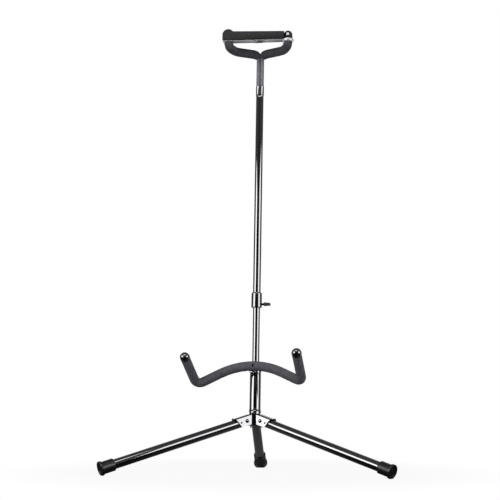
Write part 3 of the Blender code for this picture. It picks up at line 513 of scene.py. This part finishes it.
def bent_path(corners, radii):
    """The centre line of a bent rod: straight runs joined by arcs of the given radii."""
    corners = [Vector(corner) for corner in corners]
    path = [corners[0]]
    for before, corner, after, radius in zip(corners, corners[1:], corners[2:], radii):
        to_start = (before - corner).normalized()
        to_end = (after - corner).normalized()
        turn = math.pi - to_start.angle(to_end)
        centre = corner + (to_start + to_end).normalized() * (radius / math.cos(turn / 2))
        begin = corner + to_start * (radius * math.tan(turn / 2))
        out = (begin - centre).normalized()
        steps = max(3, math.ceil(turn / ARC_STEP))
        for k in range(steps + 1):
            angle = turn * k / steps
            path.append(centre + (out * math.cos(angle) - to_start * math.sin(angle)) * radius)
    path.append(corners[-1])
    return path


def shortened(path, at_start=0.0, at_end=0.0):
    """The same centre line with a length taken off either end."""
    path = [point.copy() for point in path]
    for amount in (at_start, at_end):
        left = amount
        while left > (path[1] - path[0]).length:
            left -= (path[1] - path[0]).length
            path.pop(0)
        path[0] = path[0] + (path[1] - path[0]).normalized() * left
        path.reverse()
    return path


def paced(path, pace):
    """The same centre line with a point about every pace."""
    points = [path[0]]
    for before, after in zip(path, path[1:]):
        steps = max(1, round((after - before).length / pace))
        points += [before.lerp(after, (k + 1) / steps) for k in range(steps)]
    return points


def swept(name, path, diameter, where, shares=None, resolution=10):
    """A round bar along a centre line; shares scale its diameter point by point."""
    bar = bpy.data.curves.new(name, 'CURVE')
    bar.dimensions = '3D'
    bar.bevel_depth = diameter / 2
    bar.bevel_resolution = resolution
    bar.use_fill_caps = True
    line = bar.splines.new('POLY')
    line.points.add(len(path) - 1)
    for knot, point, share in zip(line.points, path, shares or [1.0] * len(path)):
        knot.co = (*point, 1.0)
        knot.radius = share
    piece = bpy.data.objects.new(name, bar)
    bpy.context.scene.collection.objects.link(piece)
    take(piece)
    bpy.ops.object.convert(target='MESH')
    bpy.ops.object.mode_set(mode='EDIT')
    tidy_mesh()
    bpy.ops.object.shade_smooth_by_angle(angle=BAR_SMOOTH_UNDER)
    settle(piece, where)
    return piece


def foam_sleeve(name, path, where, drawn=1.0):
    """A foam tube with rounded ends that ripples faintly in its bends; one end may be drawn in."""
    outer = sizes().foam_diameter
    points = paced(path, FOAM_PACE)
    runs = [0.0]
    for before, after in zip(points, points[1:]):
        runs.append(runs[-1] + (after - before).length)
    whole = runs[-1]
    bare = FOAM_CLEAR_ENDS * FOAM_EDGE
    line = [(part * FOAM_EDGE, shortened(points, part * FOAM_EDGE)[0], 0.0) for part in FOAM_ENDS]
    for k in range(1, len(points) - 1):
        if bare < runs[k] < whole - bare:
            bend = (points[k + 1] - points[k]).angle(points[k] - points[k - 1], 0.0)
            line.append((runs[k], points[k], bend))
    line += [(whole - part * FOAM_EDGE, shortened(points, 0.0, part * FOAM_EDGE)[-1], 0.0)
             for part in reversed(FOAM_ENDS)]
    shares = []
    for run, point, bend in line:
        inside = min(1.0, min(run, whole - run) / FOAM_EDGE)
        share = 1 - 2 * FOAM_EDGE / outer * (1 - math.sqrt(1 - (1 - inside) ** 2))
        share += RIPPLE * min(1.0, bend / RIPPLE_BEND) * (math.sin(run / RIPPLE_LENGTH) - 1)
        if run < FOAM_OUT:
            share *= drawn + (1 - drawn) * math.sin(run / FOAM_OUT * math.pi / 2)
        shares.append(share)
    return swept(name, [point for run, point, bend in line], outer, where, shares, 14)


def modify(piece, kind, **settings):
    """Gives the active piece a modifier with its settings, and applies it."""
    bpy.ops.object.modifier_add(type=kind)
    modifier = piece.modifiers[-1]
    for name, value in settings.items():
        setattr(modifier, name, value)
    bpy.ops.object.modifier_apply(modifier=modifier.name)


def bore_out(piece, drill):
    """Cuts a drill's shape out of a piece, and takes the drill away."""
    take(piece)
    modify(piece, 'BOOLEAN', operation='DIFFERENCE', solver='EXACT', object=drill)
    bpy.data.objects.remove(drill)


def cut_flat(piece, point, way):
    """Cuts a piece flat at a point, keeps what lies that way and closes it."""
    take(piece)
    edit_whole()
    bpy.ops.mesh.bisect(plane_co=point, plane_no=way, use_fill=True, clear_inner=True)
    bpy.ops.object.mode_set(mode='OBJECT')


def dome_cap(name, where, depth, fuller=1.0):
    """A domed end cap standing on its open end at zero height."""
    radius = sizes().foam_diameter / 2 * fuller
    straight = depth - radius
    bore = sizes().rod_diameter / 2 + CLEAR
    profile = [(radius * math.sin(math.radians(a)), straight + radius * math.cos(math.radians(a)))
               for a in (1.5, 5, 9, 14, 20, 26, 33, 40, 48, 56, 64, 72, 81, 90)]
    profile += rounded((radius - CAP_LIP, CAP_LIP), CAP_LIP, 0, -90) + [(bore, 0.0), (bore, CAP_MOUTH)]
    return turned(name, profile, where, 48)


def eased(name, solid, width):
    """A copy of a solid with its edges eased, so that they catch the light."""
    piece = bpy.data.objects.new(name, frame["nodes"][solid].data.copy())
    bpy.context.scene.collection.objects.link(piece)
    take(piece)
    edit_whole()
    bpy.ops.mesh.remove_doubles(threshold=SOLID_WELD)
    bpy.ops.mesh.dissolve_limited(angle_limit=math.radians(1.0))
    bpy.ops.object.mode_set(mode='OBJECT')
    if width:
        modify(piece, 'BEVEL', width=width, segments=2, limit_method='ANGLE', angle_limit=EASE_OVER)
    bpy.ops.object.shade_smooth_by_angle(angle=SMOOTH_UNDER)
    if width:
        modify(piece, 'WEIGHTED_NORMAL', keep_sharp=True)
    return piece


# Stage

def aim(camera, yaw, pitch, roll):
    """Turns a camera from looking along +Y, in degrees."""
    level = Matrix.Rotation(math.radians(90 + pitch), 4, 'X')
    turn = Matrix.Rotation(-math.radians(yaw), 4, 'Z')
    tilt = Matrix.Rotation(math.radians(roll), 4, 'Z')
    camera.rotation_euler = (turn @ level @ tilt).to_euler()


def soft_box(name, azimuth, distance, low, high, width, power, tint, target):
    """A rectangular studio lamp, placed by its compass angle from straight ahead of the stand."""
    start_clean()
    azimuth = math.radians(azimuth)
    centre = Vector((distance * math.sin(azimuth), -distance * math.cos(azimuth), (low + high) / 2))
    bpy.ops.object.light_add(type='AREA', location=centre)
    lamp = bpy.context.object
    lamp.name = name
    lamp.data.shape = 'RECTANGLE'
    lamp.data.size = width
    lamp.data.size_y = high - low
    lamp.data.energy = power
    lamp.data.color = tint
    lamp.visible_camera = False
    lamp.rotation_euler = (centre - Vector((0.0, 0.0, target))).to_track_quat('Z', 'Y').to_euler()


def rays(tree):
    """Whether a ray is a mirrored one, and whether it is the camera's, straight or through glass."""
    seen = node(tree, "ShaderNodeLightPath").outputs
    shown = node(tree, "ShaderNodeMath", {"operation": 'MAXIMUM'},
                 {0: seen["Is Camera Ray"], 1: seen["Is Transmission Ray"]}).outputs[0]
    return seen["Is Glossy Ray"], shown


def paper_floor():
    """Seamless paper, matt: the camera sees it glow white with a shadow; it mirrors darker in front."""
    paper = {"Base Color": linear(FLOOR_GREY), "Roughness": 0.9}
    finish, tree, shader, where = new_finish("white_paper_floor", paper)
    glossy, shown = rays(tree)
    across = node(tree, "ShaderNodeVectorMath", {"operation": 'LENGTH'}, where).outputs["Value"]
    share = node(tree, "ShaderNodeMapRange", FLOOR_GLOW, {"Value": across}).outputs["Result"]
    depth = node(tree, "ShaderNodeSeparateXYZ", None, where).outputs["Y"]
    near = node(tree, "ShaderNodeMapRange", FLOOR_NEAR, {"Value": depth}).outputs["Result"]
    sweep = node(tree, "ShaderNodeMapRange", FLOOR_SWEEP, {"Value": depth}).outputs["Result"]
    sweep = node(tree, "ShaderNodeMath", {"operation": 'ADD'}, {0: near, 1: sweep}).outputs[0]
    shown = node(tree, "ShaderNodeMath", {"operation": 'MULTIPLY'}, {0: shown, 1: share}).outputs[0]
    factor = node(tree, "ShaderNodeMath", {"operation": 'MAXIMUM'}, {0: shown, 1: glossy}).outputs[0]
    mirrored = node(tree, "ShaderNodeMath", {"operation": 'MULTIPLY'}, {0: glossy, 1: sweep}).outputs[0]
    direct = node(tree, "ShaderNodeMath", {"operation": 'SUBTRACT', 0: 1.0}, {1: glossy}).outputs[0]
    strength = node(tree, "ShaderNodeMath", {"operation": 'ADD'}, {0: mirrored, 1: direct}).outputs[0]
    glow = node(tree, "ShaderNodeEmission", {"Color": WHITE}, {"Strength": strength}).outputs[0]
    mix = node(tree, "ShaderNodeMixShader", None, {0: factor, 1: shader.outputs[0], 2: glow})
    join(tree, tree.nodes["Material Output"], {"Surface": mix.outputs[0]})
    return finish


def white_room(scene):
    """A studio that mirrors as dark in front and grey behind; the camera sees plain white all round."""
    world = bpy.data.worlds.new("studio")
    world.use_nodes = True
    scene.world = world
    tree = world.node_tree
    tree.nodes.clear()
    way = node(tree, "ShaderNodeTexCoord").outputs["Generated"]
    split = node(tree, "ShaderNodeSeparateXYZ", None, {0: way}).outputs
    behind = node(tree, "ShaderNodeMapRange", ROOM_BEHIND, {"Value": split["Y"]}).outputs["Result"]
    above = node(tree, "ShaderNodeMapRange", ROOM_ABOVE, {"Value": split["Z"]}).outputs["Result"]
    sides = node(tree, "ShaderNodeMath", {"operation": 'ABSOLUTE'}, {0: split["X"]}).outputs[0]
    sides = node(tree, "ShaderNodeMapRange", ROOM_SIDES, {"Value": sides}).outputs["Result"]
    room = node(tree, "ShaderNodeMath", {"operation": 'ADD'}, {0: above, 1: sides}).outputs[0]
    room = node(tree, "ShaderNodeMath", {"operation": 'MAXIMUM'}, {0: room, 1: behind}).outputs[0]
    glossy, shown = rays(tree)
    share = node(tree, "ShaderNodeMath", {"operation": 'MULTIPLY_ADD', 1: ROOM_MIRRORED, 2: ROOM_LIGHT},
                 {0: glossy}).outputs[0]
    room = node(tree, "ShaderNodeMath", {"operation": 'MULTIPLY'}, {0: room, 1: share}).outputs[0]
    level = node(tree, "ShaderNodeMath", {"operation": 'MAXIMUM'}, {0: room, 1: shown}).outputs[0]
    light = node(tree, "ShaderNodeBackground", {"Color": WHITE}, {"Strength": level})
    node(tree, "ShaderNodeOutputWorld", None, {"Surface": light.outputs[0]})


class STAND_OT_stage(bpy.types.Operator):
    """Floor, lights, background and camera"""
    bl_idname = "guitar_stand.stage"
    bl_label = "Stage"

    def execute(self, context):
        start_clean()
        bpy.ops.mesh.primitive_plane_add(size=FLOOR_SIZE, location=(0, 0, FLOOR_LEVEL))
        floor = context.object
        floor.name = "floor"
        settle(floor)
        floor.data.materials.append(paper_floor())
        white_room(context.scene)
        for name, lamp in LAMPS.items():
            soft_box(name, *lamp)
        bpy.ops.object.camera_add(location=CAMERA_PLACE)
        camera = context.object
        camera.name = "photo_camera"
        camera.data.sensor_width = SENSOR
        camera.data.lens = FOCAL_PIXELS / PHOTO_PIXELS * SENSOR
        camera.data.clip_end = CAMERA_REACH
        aim(camera, *CAMERA_TURN)
        context.scene.camera = camera
        context.scene.view_settings.view_transform = 'Standard'
        return {'FINISHED'}


# Pieces

def leg_place(azimuth, drop):
    """A leg's pivot: X runs out along the leg."""
    out = Vector((math.cos(azimuth), math.sin(azimuth), 0)) * PIVOT_RADIUS
    turn = Matrix.Rotation(azimuth, 4, 'Z')
    return MAST @ Matrix.Translation(out) @ turn @ Matrix.Rotation(drop, 4, 'Y')


def leg_reach(pivot):
    """Pivot to the end of the foot, whose flange just reaches the floor."""
    direction = pivot.col[0].xyz
    flange = sizes().leg_diameter / 2 + FOOT_WALL + FOOT_STEP
    return (pivot.translation.z - flange * math.sqrt(1 - direction.z ** 2) + FLOOR_FLAT) / -direction.z


class STAND_OT_legs(bpy.types.Operator):
    """Three legs with their feet and pivot rivets"""
    bl_idname = "guitar_stand.legs"
    bl_label = "Legs, feet and rivets"

    def execute(self, context):
        outer = sizes().leg_diameter / 2
        for side, (azimuth, drop) in LEGS.items():
            pivot = leg_place(azimuth, drop)
            reach = leg_reach(pivot)
            along_leg = pivot @ Matrix.Rotation(math.pi / 2, 4, 'Y')
            end = reach - FOOT_DISH - LEG_END_GAP
            profile = [(outer * math.sin(a), -outer * math.cos(a))
                       for a in map(math.radians, (3, 9, 16, 24, 33, 42, 51, 60, 70, 80, 90))]
            profile += [(outer, end), (outer - LEG_WALL, end)]
            leg = turned(side + "_leg_tube", profile, along_leg)
            dress(leg, "enamel", side + "_leg", "black_paint", side + "_leg")
            foot = self.foot(side, reach, along_leg)
            dress(foot, "rubber", side + "_leg", "black_rubber", side + "_foot")
            dress(self.rivet(side, pivot), "enamel", "base", "black_paint", side + "_leg_rivet")
        return {'FINISHED'}

    def foot(self, side, reach, where):
        """Flanged sleeve with a dished end face, cut flat where it stands."""
        outer = sizes().leg_diameter / 2
        rim = outer + FOOT_WALL
        flange = rim + FOOT_STEP
        front = reach + FOOT_FLANGE / 2
        back = front - FOOT_LENGTH
        dish = flange - FOOT_RIM
        step = front - FOOT_FLANGE
        mouth = back + FOOT_MOUTH
        profile = [(FOOT_FACET, front - FOOT_DISH), (dish * 0.5, front - FOOT_DISH)]
        profile += rounded((dish, front - FOOT_DISH + DISH_FILLET), DISH_FILLET, -90, 0, 3)
        profile += rounded((dish + DISH_LIP, front - FOOT_FILLET), FOOT_FILLET, 180, 90, 3)
        profile += rounded((flange - FOOT_EDGE, front - FOOT_EDGE), FOOT_EDGE, 90, 0)
        profile += rounded((flange - FOOT_EDGE, step + FOOT_EDGE), FOOT_EDGE, 0, -90)
        profile += rounded((rim + FOOT_FILLET, step - FOOT_FILLET), FOOT_FILLET, 90, 180, 3)
        profile += rounded((rim - FOOT_EDGE, back + FOOT_EDGE), FOOT_EDGE, 0, -90)
        profile += [(outer + CLEAR, back), (outer + CLEAR, mouth), (FOOT_FACET, mouth)]
        foot = turned(side + "_foot_rubber", profile, where, 64, 40)
        cut_flat(foot, (0, 0, 0), (0, 0, 1))
        return foot

    def rivet(self, side, pivot):
        """A shank between two domed heads."""
        across = sizes().leg_diameter / 2 + CHEEK_GAP + SHEET + CLEAR
        head = RIVET_HEAD_OD / 2
        dome = [(head * math.cos(a), across + RIVET_HEAD * math.sin(a))
                for a in map(math.radians, (87, 80, 70, 60, 50, 40, 30, 20, 10, 0))]
        profile = dome + [(RIVET_OD / 2, across), (RIVET_OD / 2, -across)]
        profile += [(radius, -height) for radius, height in reversed(dome)]
        across_leg = pivot @ Matrix.Rotation(math.pi / 2, 4, 'X')
        return turned(side + "_rivet", profile, across_leg, 40)


class STAND_OT_hub(bpy.types.Operator):
    """Pressed hub with its edges eased"""
    bl_idname = "guitar_stand.hub"
    bl_label = "Hub"

    def execute(self, context):
        hub = eased("pressed_hub", "hub", sizes().edge_radius)
        dress(hub, "enamel", "base", "black_paint", "hub")
        return {'FINISHED'}


class STAND_OT_post(bpy.types.Operator):
    """Lower post with its bell, and its bush"""
    bl_idname = "guitar_stand.post"
    bl_label = "Lower post"

    def execute(self, context):
        outer = sizes().post_diameter / 2
        inner = outer - POST_WALL
        bell = BELL_OD / 2
        low = HUB_TOP + CLEAR
        profile = [(inner, POST_TOP)]
        profile += rounded((outer - POST_EASE, POST_TOP - POST_EASE), POST_EASE, 90, 0, 3)
        for k in range(BELL_STEPS):
            flare = (bell - outer) * (1 - math.cos(k * math.pi / (2 * BELL_STEPS)))
            profile.append((outer + flare, low + BELL_HEIGHT * (1 - k / BELL_STEPS)))
        profile += rounded((bell - BELL_EDGE, low + BELL_EDGE), BELL_EDGE, 0, -90, 3)
        profile += [(inner, low), (inner, POST_TOP)]
        dress(turned("post_tube", profile, MAST), "enamel", "base", "black_paint", "lower_post")
        bore = sizes().mid_diameter / 2 + CLEAR
        seat = POST_TOP + CLEAR
        plug = inner - CLEAR
        top = seat + BUSH_FLANGE
        bottom = seat - BUSH_DEPTH
        profile = [(bore, top)]
        profile += rounded((outer - BUSH_EASE, top - BUSH_EASE), BUSH_EASE, 90, 0, 3)
        profile += [(outer, seat), (plug, seat), (plug, bottom), (bore, bottom), (bore, top)]
        dress(turned("bush", profile, MAST), "plastic", "base", "black_plastic", "post_bush")
        return {'FINISHED'}


class STAND_OT_mast(bpy.types.Operator):
    """Mid tube and upper tube"""
    bl_idname = "guitar_stand.mast"
    bl_label = "Mast tubes"

    def execute(self, context):
        outer = sizes().mid_diameter / 2
        inner = outer - MID_WALL
        low = HUB_TOP - MID_IN_HUB
        profile = [(inner, MID_TOP), (outer, MID_TOP), (outer, low), (inner, low), (inner, MID_TOP)]
        tube = turned("mid_tube_skin", profile, MAST)
        dress(tube, "enamel", "mid_tube", "black_paint", "mid_tube")
        outer = sizes().upper_diameter / 2
        inner = outer - UPPER_WALL
        low = COLLAR_LOW + COLLAR_STEP + CLEAR
        profile = [(inner, UPPER_TOP), (outer - UPPER_EASE, UPPER_TOP), (outer, UPPER_TOP - UPPER_EASE),
                   (outer, low), (inner, low), (inner, UPPER_TOP)]
        tube = turned("upper_tube_skin", profile, MAST)
        dress(tube, "enamel", "upper_mast", "black_paint", "upper_tube")
        return {'FINISHED'}


class STAND_OT_collar(bpy.types.Operator):
    """Height collar and its thumb screw"""
    bl_idname = "guitar_stand.collar"
    bl_label = "Collar and thumb screw"

    def execute(self, context):
        bore = sizes().mid_diameter / 2 + CLEAR
        wide = sizes().upper_diameter / 2 + CLEAR
        rim = COLLAR_OD / 2
        high = COLLAR_LOW + COLLAR_LENGTH
        lip = COLLAR_LOW + COLLAR_STEP
        shoulder = COLLAR_CHAMFER
        profile = [(wide, high), (rim - shoulder, high)]
        profile += [(rim - shoulder + shoulder * math.sin(a),
                     high - COLLAR_SLOPE * shoulder * (1 - math.cos(a)))
                    for a in map(math.radians, (18, 36, 54, 72, 90))]
        profile += rounded((rim - COLLAR_EDGE, COLLAR_LOW + COLLAR_EDGE), COLLAR_EDGE, 0, -90)
        profile += [(bore, COLLAR_LOW), (bore, lip), (wide, lip), (wide, high)]
        collar = turned("collar", profile, MAST)
        dress(collar, "plastic", "upper_mast", "black_plastic", "height_collar")

        place = Matrix.Translation((0, 0, COLLAR_LOW + SCREW_UP))
        screw = MAST @ place @ Matrix.Rotation(math.pi / 2, 4, 'Y')
        neck = rim + THUMB_NECK
        end = neck + SCREW_IN_WING
        shank = SCREW_OD / 2
        profile = [(FACET, end), (shank, end)]
        for k in range(int((end - bore - THREAD_END) / THREAD_PITCH)):
            crest = end - THREAD_START - k * THREAD_PITCH
            profile += [(shank, crest), (shank - THREAD_DEPTH, crest - THREAD_PITCH / 2)]
        profile += [(shank - THREAD_END, bore), (FACET, bore)]
        thread = turned("thumb_screw", profile, screw, 32)
        dress(thread, "nylon", "thumb_screw", "zinc", "thumb_screw_shank")
        wing = self.wing(neck, screw)
        dress(wing, "nylon", "thumb_screw", "black_plastic", "thumb_screw_wing")
        return {'FINISHED'}

    def wing(self, neck, screw):
        """A moulded wing, narrow at its neck and thinning to its tip, dished on its two flats."""
        start_clean()
        bpy.ops.mesh.primitive_cube_add(size=1.0, location=(0, 0, neck + THUMB_LENGTH / 2))
        wing = bpy.context.object
        wing.name = "thumb_wing"
        bpy.ops.transform.resize(value=(THUMB_THICK, THUMB_SPAN, THUMB_LENGTH))
        bpy.ops.object.transform_apply(location=True, rotation=True, scale=True)
        for way, scale in ((1, (THUMB_TIP_SHARE, 1.0, 1.0)), (-1, (1.0, THUMB_NECK_SHARE, 1.0))):
            self.pick(wing, lambda face: way * face.normal.z > 0.9)
            bpy.ops.object.mode_set(mode='EDIT')
            bpy.ops.transform.resize(value=scale)
        self.pick(wing, lambda face: abs(face.normal.x) > 0.8)
        bpy.ops.object.mode_set(mode='EDIT')
        bpy.ops.mesh.inset(thickness=THUMB_RIM, depth=-THUMB_DISH)
        bpy.ops.object.mode_set(mode='OBJECT')
        modify(wing, 'BEVEL', width=THUMB_EDGE, segments=4, limit_method='ANGLE',
               angle_limit=THUMB_EASE_OVER)
        bpy.ops.object.shade_smooth_by_angle(angle=BAR_SMOOTH_UNDER)
        settle(wing, screw)
        return wing

    def pick(self, piece, wanted):
        """Selects the faces that pass a test."""
        bpy.ops.object.mode_set(mode='EDIT')
        bpy.ops.mesh.select_mode(type='FACE')
        bpy.ops.mesh.select_all(action='DESELECT')
        bpy.ops.object.mode_set(mode='OBJECT')
        for face in piece.data.polygons:
            face.select = wanted(face)


class STAND_OT_cradle(bpy.types.Operator):
    """Cradle rod, foam sleeve, end caps, bracket and screw"""
    bl_idname = "guitar_stand.cradle"
    bl_label = "Cradle"

    def execute(self, context):
        def at(corner, hand=1):
            return Vector((hand * corner[0], -corner[1], corner[2]))

        path = bent_path([at(CRADLE_TIP, -1), at(CRADLE_BEND, -1), at(CRADLE_APEX), at(CRADLE_BEND),
                          at(CRADLE_TIP)], (BEND_RADIUS, ARCH_RADIUS, BEND_RADIUS))
        rod = swept("cradle_steel", path, sizes().rod_diameter, CRADLE)
        dress(rod, "enamel", "cradle", "black_paint", "cradle_rod")
        inset = CAP_GRIP + CLEAR
        foam = foam_sleeve("cradle_sleeve", shortened(path, inset, inset), CRADLE)
        self.screw_well(foam, path[len(path) // 2])
        dress(foam, "foam", "cradle", "foam", "cradle_foam")
        for side, hand in SIDES.items():
            tip = at(CRADLE_TIP, hand)
            way = (tip - at(CRADLE_BEND, hand)).normalized()
            turn = Vector((0, 0, 1)).rotation_difference(way).to_matrix().to_4x4()
            where = CRADLE @ Matrix.Translation(tip - way * CAP_GRIP) @ turn
            cap = dome_cap("cradle_end_" + side, where, CRADLE_CAP_LENGTH, CRADLE_CAP_FULLER)
            dress(cap, "plastic", "cradle", "black_plastic", "cradle_cap_" + side)
        bracket = eased("swivel_bracket", "cradle_bracket", BRACKET_EASE)
        dress(bracket, "enamel", "cradle", "black_paint", "cradle_bracket")
        return {'FINISHED'}

    def screw_place(self, middle):
        """The screw's axis runs forward through the middle of the rod."""
        return CRADLE @ Matrix.Translation(middle) @ Matrix.Rotation(math.pi / 2, 4, 'X')

    def screw_well(self, foam, middle):
        """Bores the foam where the screw goes in, and puts the screw there."""
        shaft = CRADLE_SCREW_OD / 2
        head = CRADLE_SCREW_HEAD_OD / 2
        face = sizes().rod_diameter / 2 + CLEAR
        inner = -face - CRADLE_SCREW_HEAD
        profile = [(FACET, face + CRADLE_SCREW_HEAD)]
        profile += [(head * share, face + rise) for share, rise in CRADLE_SCREW_DOME]
        profile += [(shaft, face), (shaft, inner), (FACET, inner)]
        screw = turned("cradle_bolt", profile, self.screw_place(middle), 32)
        dress(screw, "enamel", "cradle", "black_paint", "cradle_screw")
        start_clean()
        bpy.ops.mesh.primitive_cylinder_add(vertices=32, radius=head + CLEAR, depth=4 * face,
                                            location=(0, 0, 2 * face))
        drill = bpy.context.object
        settle(drill, self.screw_place(middle))
        bore_out(foam, drill)


def crimped(name, stations, where):
    """A loft up Z from round to two lobes; a station is its height, lobed share, depth and scale."""
    offset = ROD_SPACING / 2
    lobe = offset + CLEAR + LOBE_WALL
    round_radius = sizes().upper_diameter / 2
    profile = [(round_radius * 1.001, height) for height, *rest in stations]
    piece = turned(name, profile, Matrix.Identity(4), FERRULE_SIDES, 60)
    for vert in piece.data.vertices:
        height, share, depth, scale = min(stations, key=lambda station: abs(station[0] - vert.co.z))
        c, s = Vector(vert.co.xy).normalized()
        lobed_x = math.copysign(offset, c) * min(1, LOBE_BREADTH * abs(c)) + lobe * c
        lobed_y = depth * s * (1 - VALLEY * max(0, 1 - VALLEY_BREADTH * abs(c)))
        vert.co.x = (c * round_radius * (1 - share) + lobed_x * share) * scale
        vert.co.y = (s * round_radius * (1 - share) + lobed_y * share) * scale
    settle(piece, where)
    bpy.ops.object.shade_smooth_by_angle(angle=math.radians(36))
    return piece


class STAND_OT_yoke(bpy.types.Operator):
    """Ferrule, yoke rods, foam sleeves and end caps"""
    bl_idname = "guitar_stand.yoke"
    bl_label = "Neck yoke"

    def execute(self, context):
        low = UPPER_TOP + CLEAR
        outer = sizes().upper_diameter / 2
        deep = FERRULE_DEPTH * outer
        thin = sizes().rod_diameter / 2 + CLEAR + FERRULE_WALL
        stations = [(low, 0.0, outer, 0.96), (low + 0.4 * MM, 0.0, outer, 1.0)]
        for k in range(2, FERRULE_STEPS):
            part = k / FERRULE_STEPS
            split = min(1.0, max(0.0, (part - LOBES_FROM) / LOBES_OVER))
            stations.append((low + part * FERRULE_LENGTH, split * split * (3 - 2 * split),
                             deep + (thin - deep) * part, 1.0))
        top = low + FERRULE_LENGTH
        stations += [(top - 0.3 * MM, 1.0, thin, 0.985), (top, 1.0, thin, 0.95)]
        ferrule = crimped("crimped_ferrule", stations, MAST)
        dress(ferrule, "enamel", "upper_mast", "black_paint", "yoke_ferrule")
        tip_width, tip_forward = YOKE_TIP
        seat = YOKE_LEVEL + PLATE_RISE
        rod_top = seat + PLATE_THICK + CLEAR + CAP_GRIP
        socket = UPPER_TOP + CLEAR + FERRULE_LENGTH - FERRULE_SOCKET + CLEAR
        elbow_width, elbow_forward, elbow_up = YOKE_ELBOW
        for side, hand in SIDES.items():
            corners = [(hand * ROD_SPACING / 2, 0, socket), (hand * ROD_SPACING / 2, 0, YOKE_LEVEL),
                       (hand * elbow_width, -elbow_forward, YOKE_LEVEL + elbow_up),
                       (hand * tip_width, -tip_forward, YOKE_LEVEL + elbow_up),
                       (hand * tip_width, -tip_forward, rod_top)]
            path = bent_path(corners, YOKE_RADII)
            rod = swept("yoke_bar_" + side, path, ROD_SPACING, MAST)
            dress(rod, "grey", "upper_mast", "grey_steel", "yoke_rod_" + side)
            bare = YOKE_LEVEL - socket - sizes().foam_diameter * FOAM_START
            above = CAP_GRIP + CLEAR + PLATE_THICK + CLEAR
            foam = foam_sleeve("yoke_sleeve_" + side, shortened(path, bare, above), MAST, FOAM_DRAW)
            # the two sleeves meet flat in the V
            cut_flat(foam, (hand * CLEAR / 2, 0, 0), (hand, 0, 0))
            # the yoke's sleeves take the darker copy of the foam, painted shade for the weaker light at their
            # height
            dress(foam, "neck foam painted shade", "upper_mast", "foam", "yoke_foam_" + side)
            rest = (hand * tip_width, -tip_forward, seat + PLATE_THICK + CLEAR)
            cap = dome_cap("yoke_end_" + side, MAST @ Matrix.Translation(rest), CAP_LENGTH)
            dress(cap, "plastic", "upper_mast", "black_plastic", "yoke_cap_" + side)
        return {'FINISHED'}


class STAND_OT_gate(bpy.types.Operator):
    """Gate plate, covered bar and clip"""
    bl_idname = "guitar_stand.gate"
    bl_label = "Gate"

    def execute(self, context):
        strip = eased("gate_strip", "gate_plate", PLATE_EASE)
        dress(strip, "zinc", "gate", "zinc", "gate_plate")
        dress(self.cover(), "bar", "gate", "black_rubber", "gate_bar")
        clip = eased("gate_stud_clip", "gate_clip", CLIP_EASE)
        dress(clip, "plastic", "gate", "black_plastic", "gate_clip")
        return {'FINISHED'}

    def cover(self):
        """The bar's soft cover: its end reaches out round the cap, and is hollowed to clear it."""
        cover = eased("gate_cover", "gate_bar", 0.0)
        tip_width, tip_forward = YOKE_TIP
        swing = MAST @ Matrix.Translation((tip_width, -tip_forward, YOKE_LEVEL + PLATE_RISE))
        settle(cover, swing.inverted())
        radius = sizes().foam_diameter / 2
        for vert in cover.data.vertices:
            if vert.co.x > -radius - COVER_END:
                vert.co.x += COVER_REACH
        start_clean()
        bpy.ops.mesh.primitive_cylinder_add(vertices=72, radius=radius + 2 * CLEAR, depth=80 * MM)
        drill = bpy.context.object
        settle(drill)
        bore_out(cover, drill)
        bpy.ops.object.shade_smooth_by_angle(angle=SMOOTH_UNDER)
        settle(cover, swing)
        return cover


class STAND_OT_solids(bpy.types.Operator):
    """Finishes of the solids, which stand behind the pieces"""
    bl_idname = "guitar_stand.solids"
    bl_label = "Solids"

    def execute(self, context):
        by_slot = {"black_paint": "enamel", "grey_steel": "grey", "zinc": "zinc",
                   "black_plastic": "plastic", "black_rubber": "rubber", "foam": "foam"}
        for part in frame["record"]["subparts"]:
            for slot in frame["nodes"][part["node"]].material_slots:
                slot.material = FINISHES[by_slot[part["material_slot"]]]
        return {'FINISHED'}


class STAND_PT_panel(bpy.types.Panel):
    """Lists the pieces in the order in which they are made"""
    bl_idname = "STAND_PT_panel"
    bl_label = "Guitar stand"
    bl_space_type = 'VIEW_3D'
    bl_region_type = 'UI'
    bl_category = "Guitar stand"

    def draw(self, context):
        for group in (context.scene.stand_sizes, context.scene.stand_colours):
            for name in group.__annotations__:
                self.layout.prop(group, name)
        for operator in OPERATORS:
            self.layout.operator(operator.bl_idname)


OPERATORS = (STAND_OT_stage, STAND_OT_legs, STAND_OT_hub, STAND_OT_post, STAND_OT_mast,
             STAND_OT_collar, STAND_OT_cradle, STAND_OT_yoke, STAND_OT_gate, STAND_OT_solids)
CLASSES = (STAND_PG_sizes, STAND_PG_colours, *OPERATORS, STAND_PT_panel)


def register():
    for cls in CLASSES:
        bpy.utils.register_class(cls)
    bpy.types.Scene.stand_sizes = PointerProperty(type=STAND_PG_sizes)
    bpy.types.Scene.stand_colours = PointerProperty(type=STAND_PG_colours)


def unregister():
    del bpy.types.Scene.stand_colours
    del bpy.types.Scene.stand_sizes
    for cls in reversed(CLASSES):
        bpy.utils.unregister_class(cls)


def main():
    register()
    make_finishes()
    bpy.ops.guitar_stand.stage()
    bpy.ops.guitar_stand.legs()
    bpy.ops.guitar_stand.hub()
    bpy.ops.guitar_stand.post()
    bpy.ops.guitar_stand.mast()
    bpy.ops.guitar_stand.collar()
    bpy.ops.guitar_stand.cradle()
    bpy.ops.guitar_stand.yoke()
    bpy.ops.guitar_stand.gate()
    bpy.ops.guitar_stand.solids()


if __name__ == "__main__":
    main()
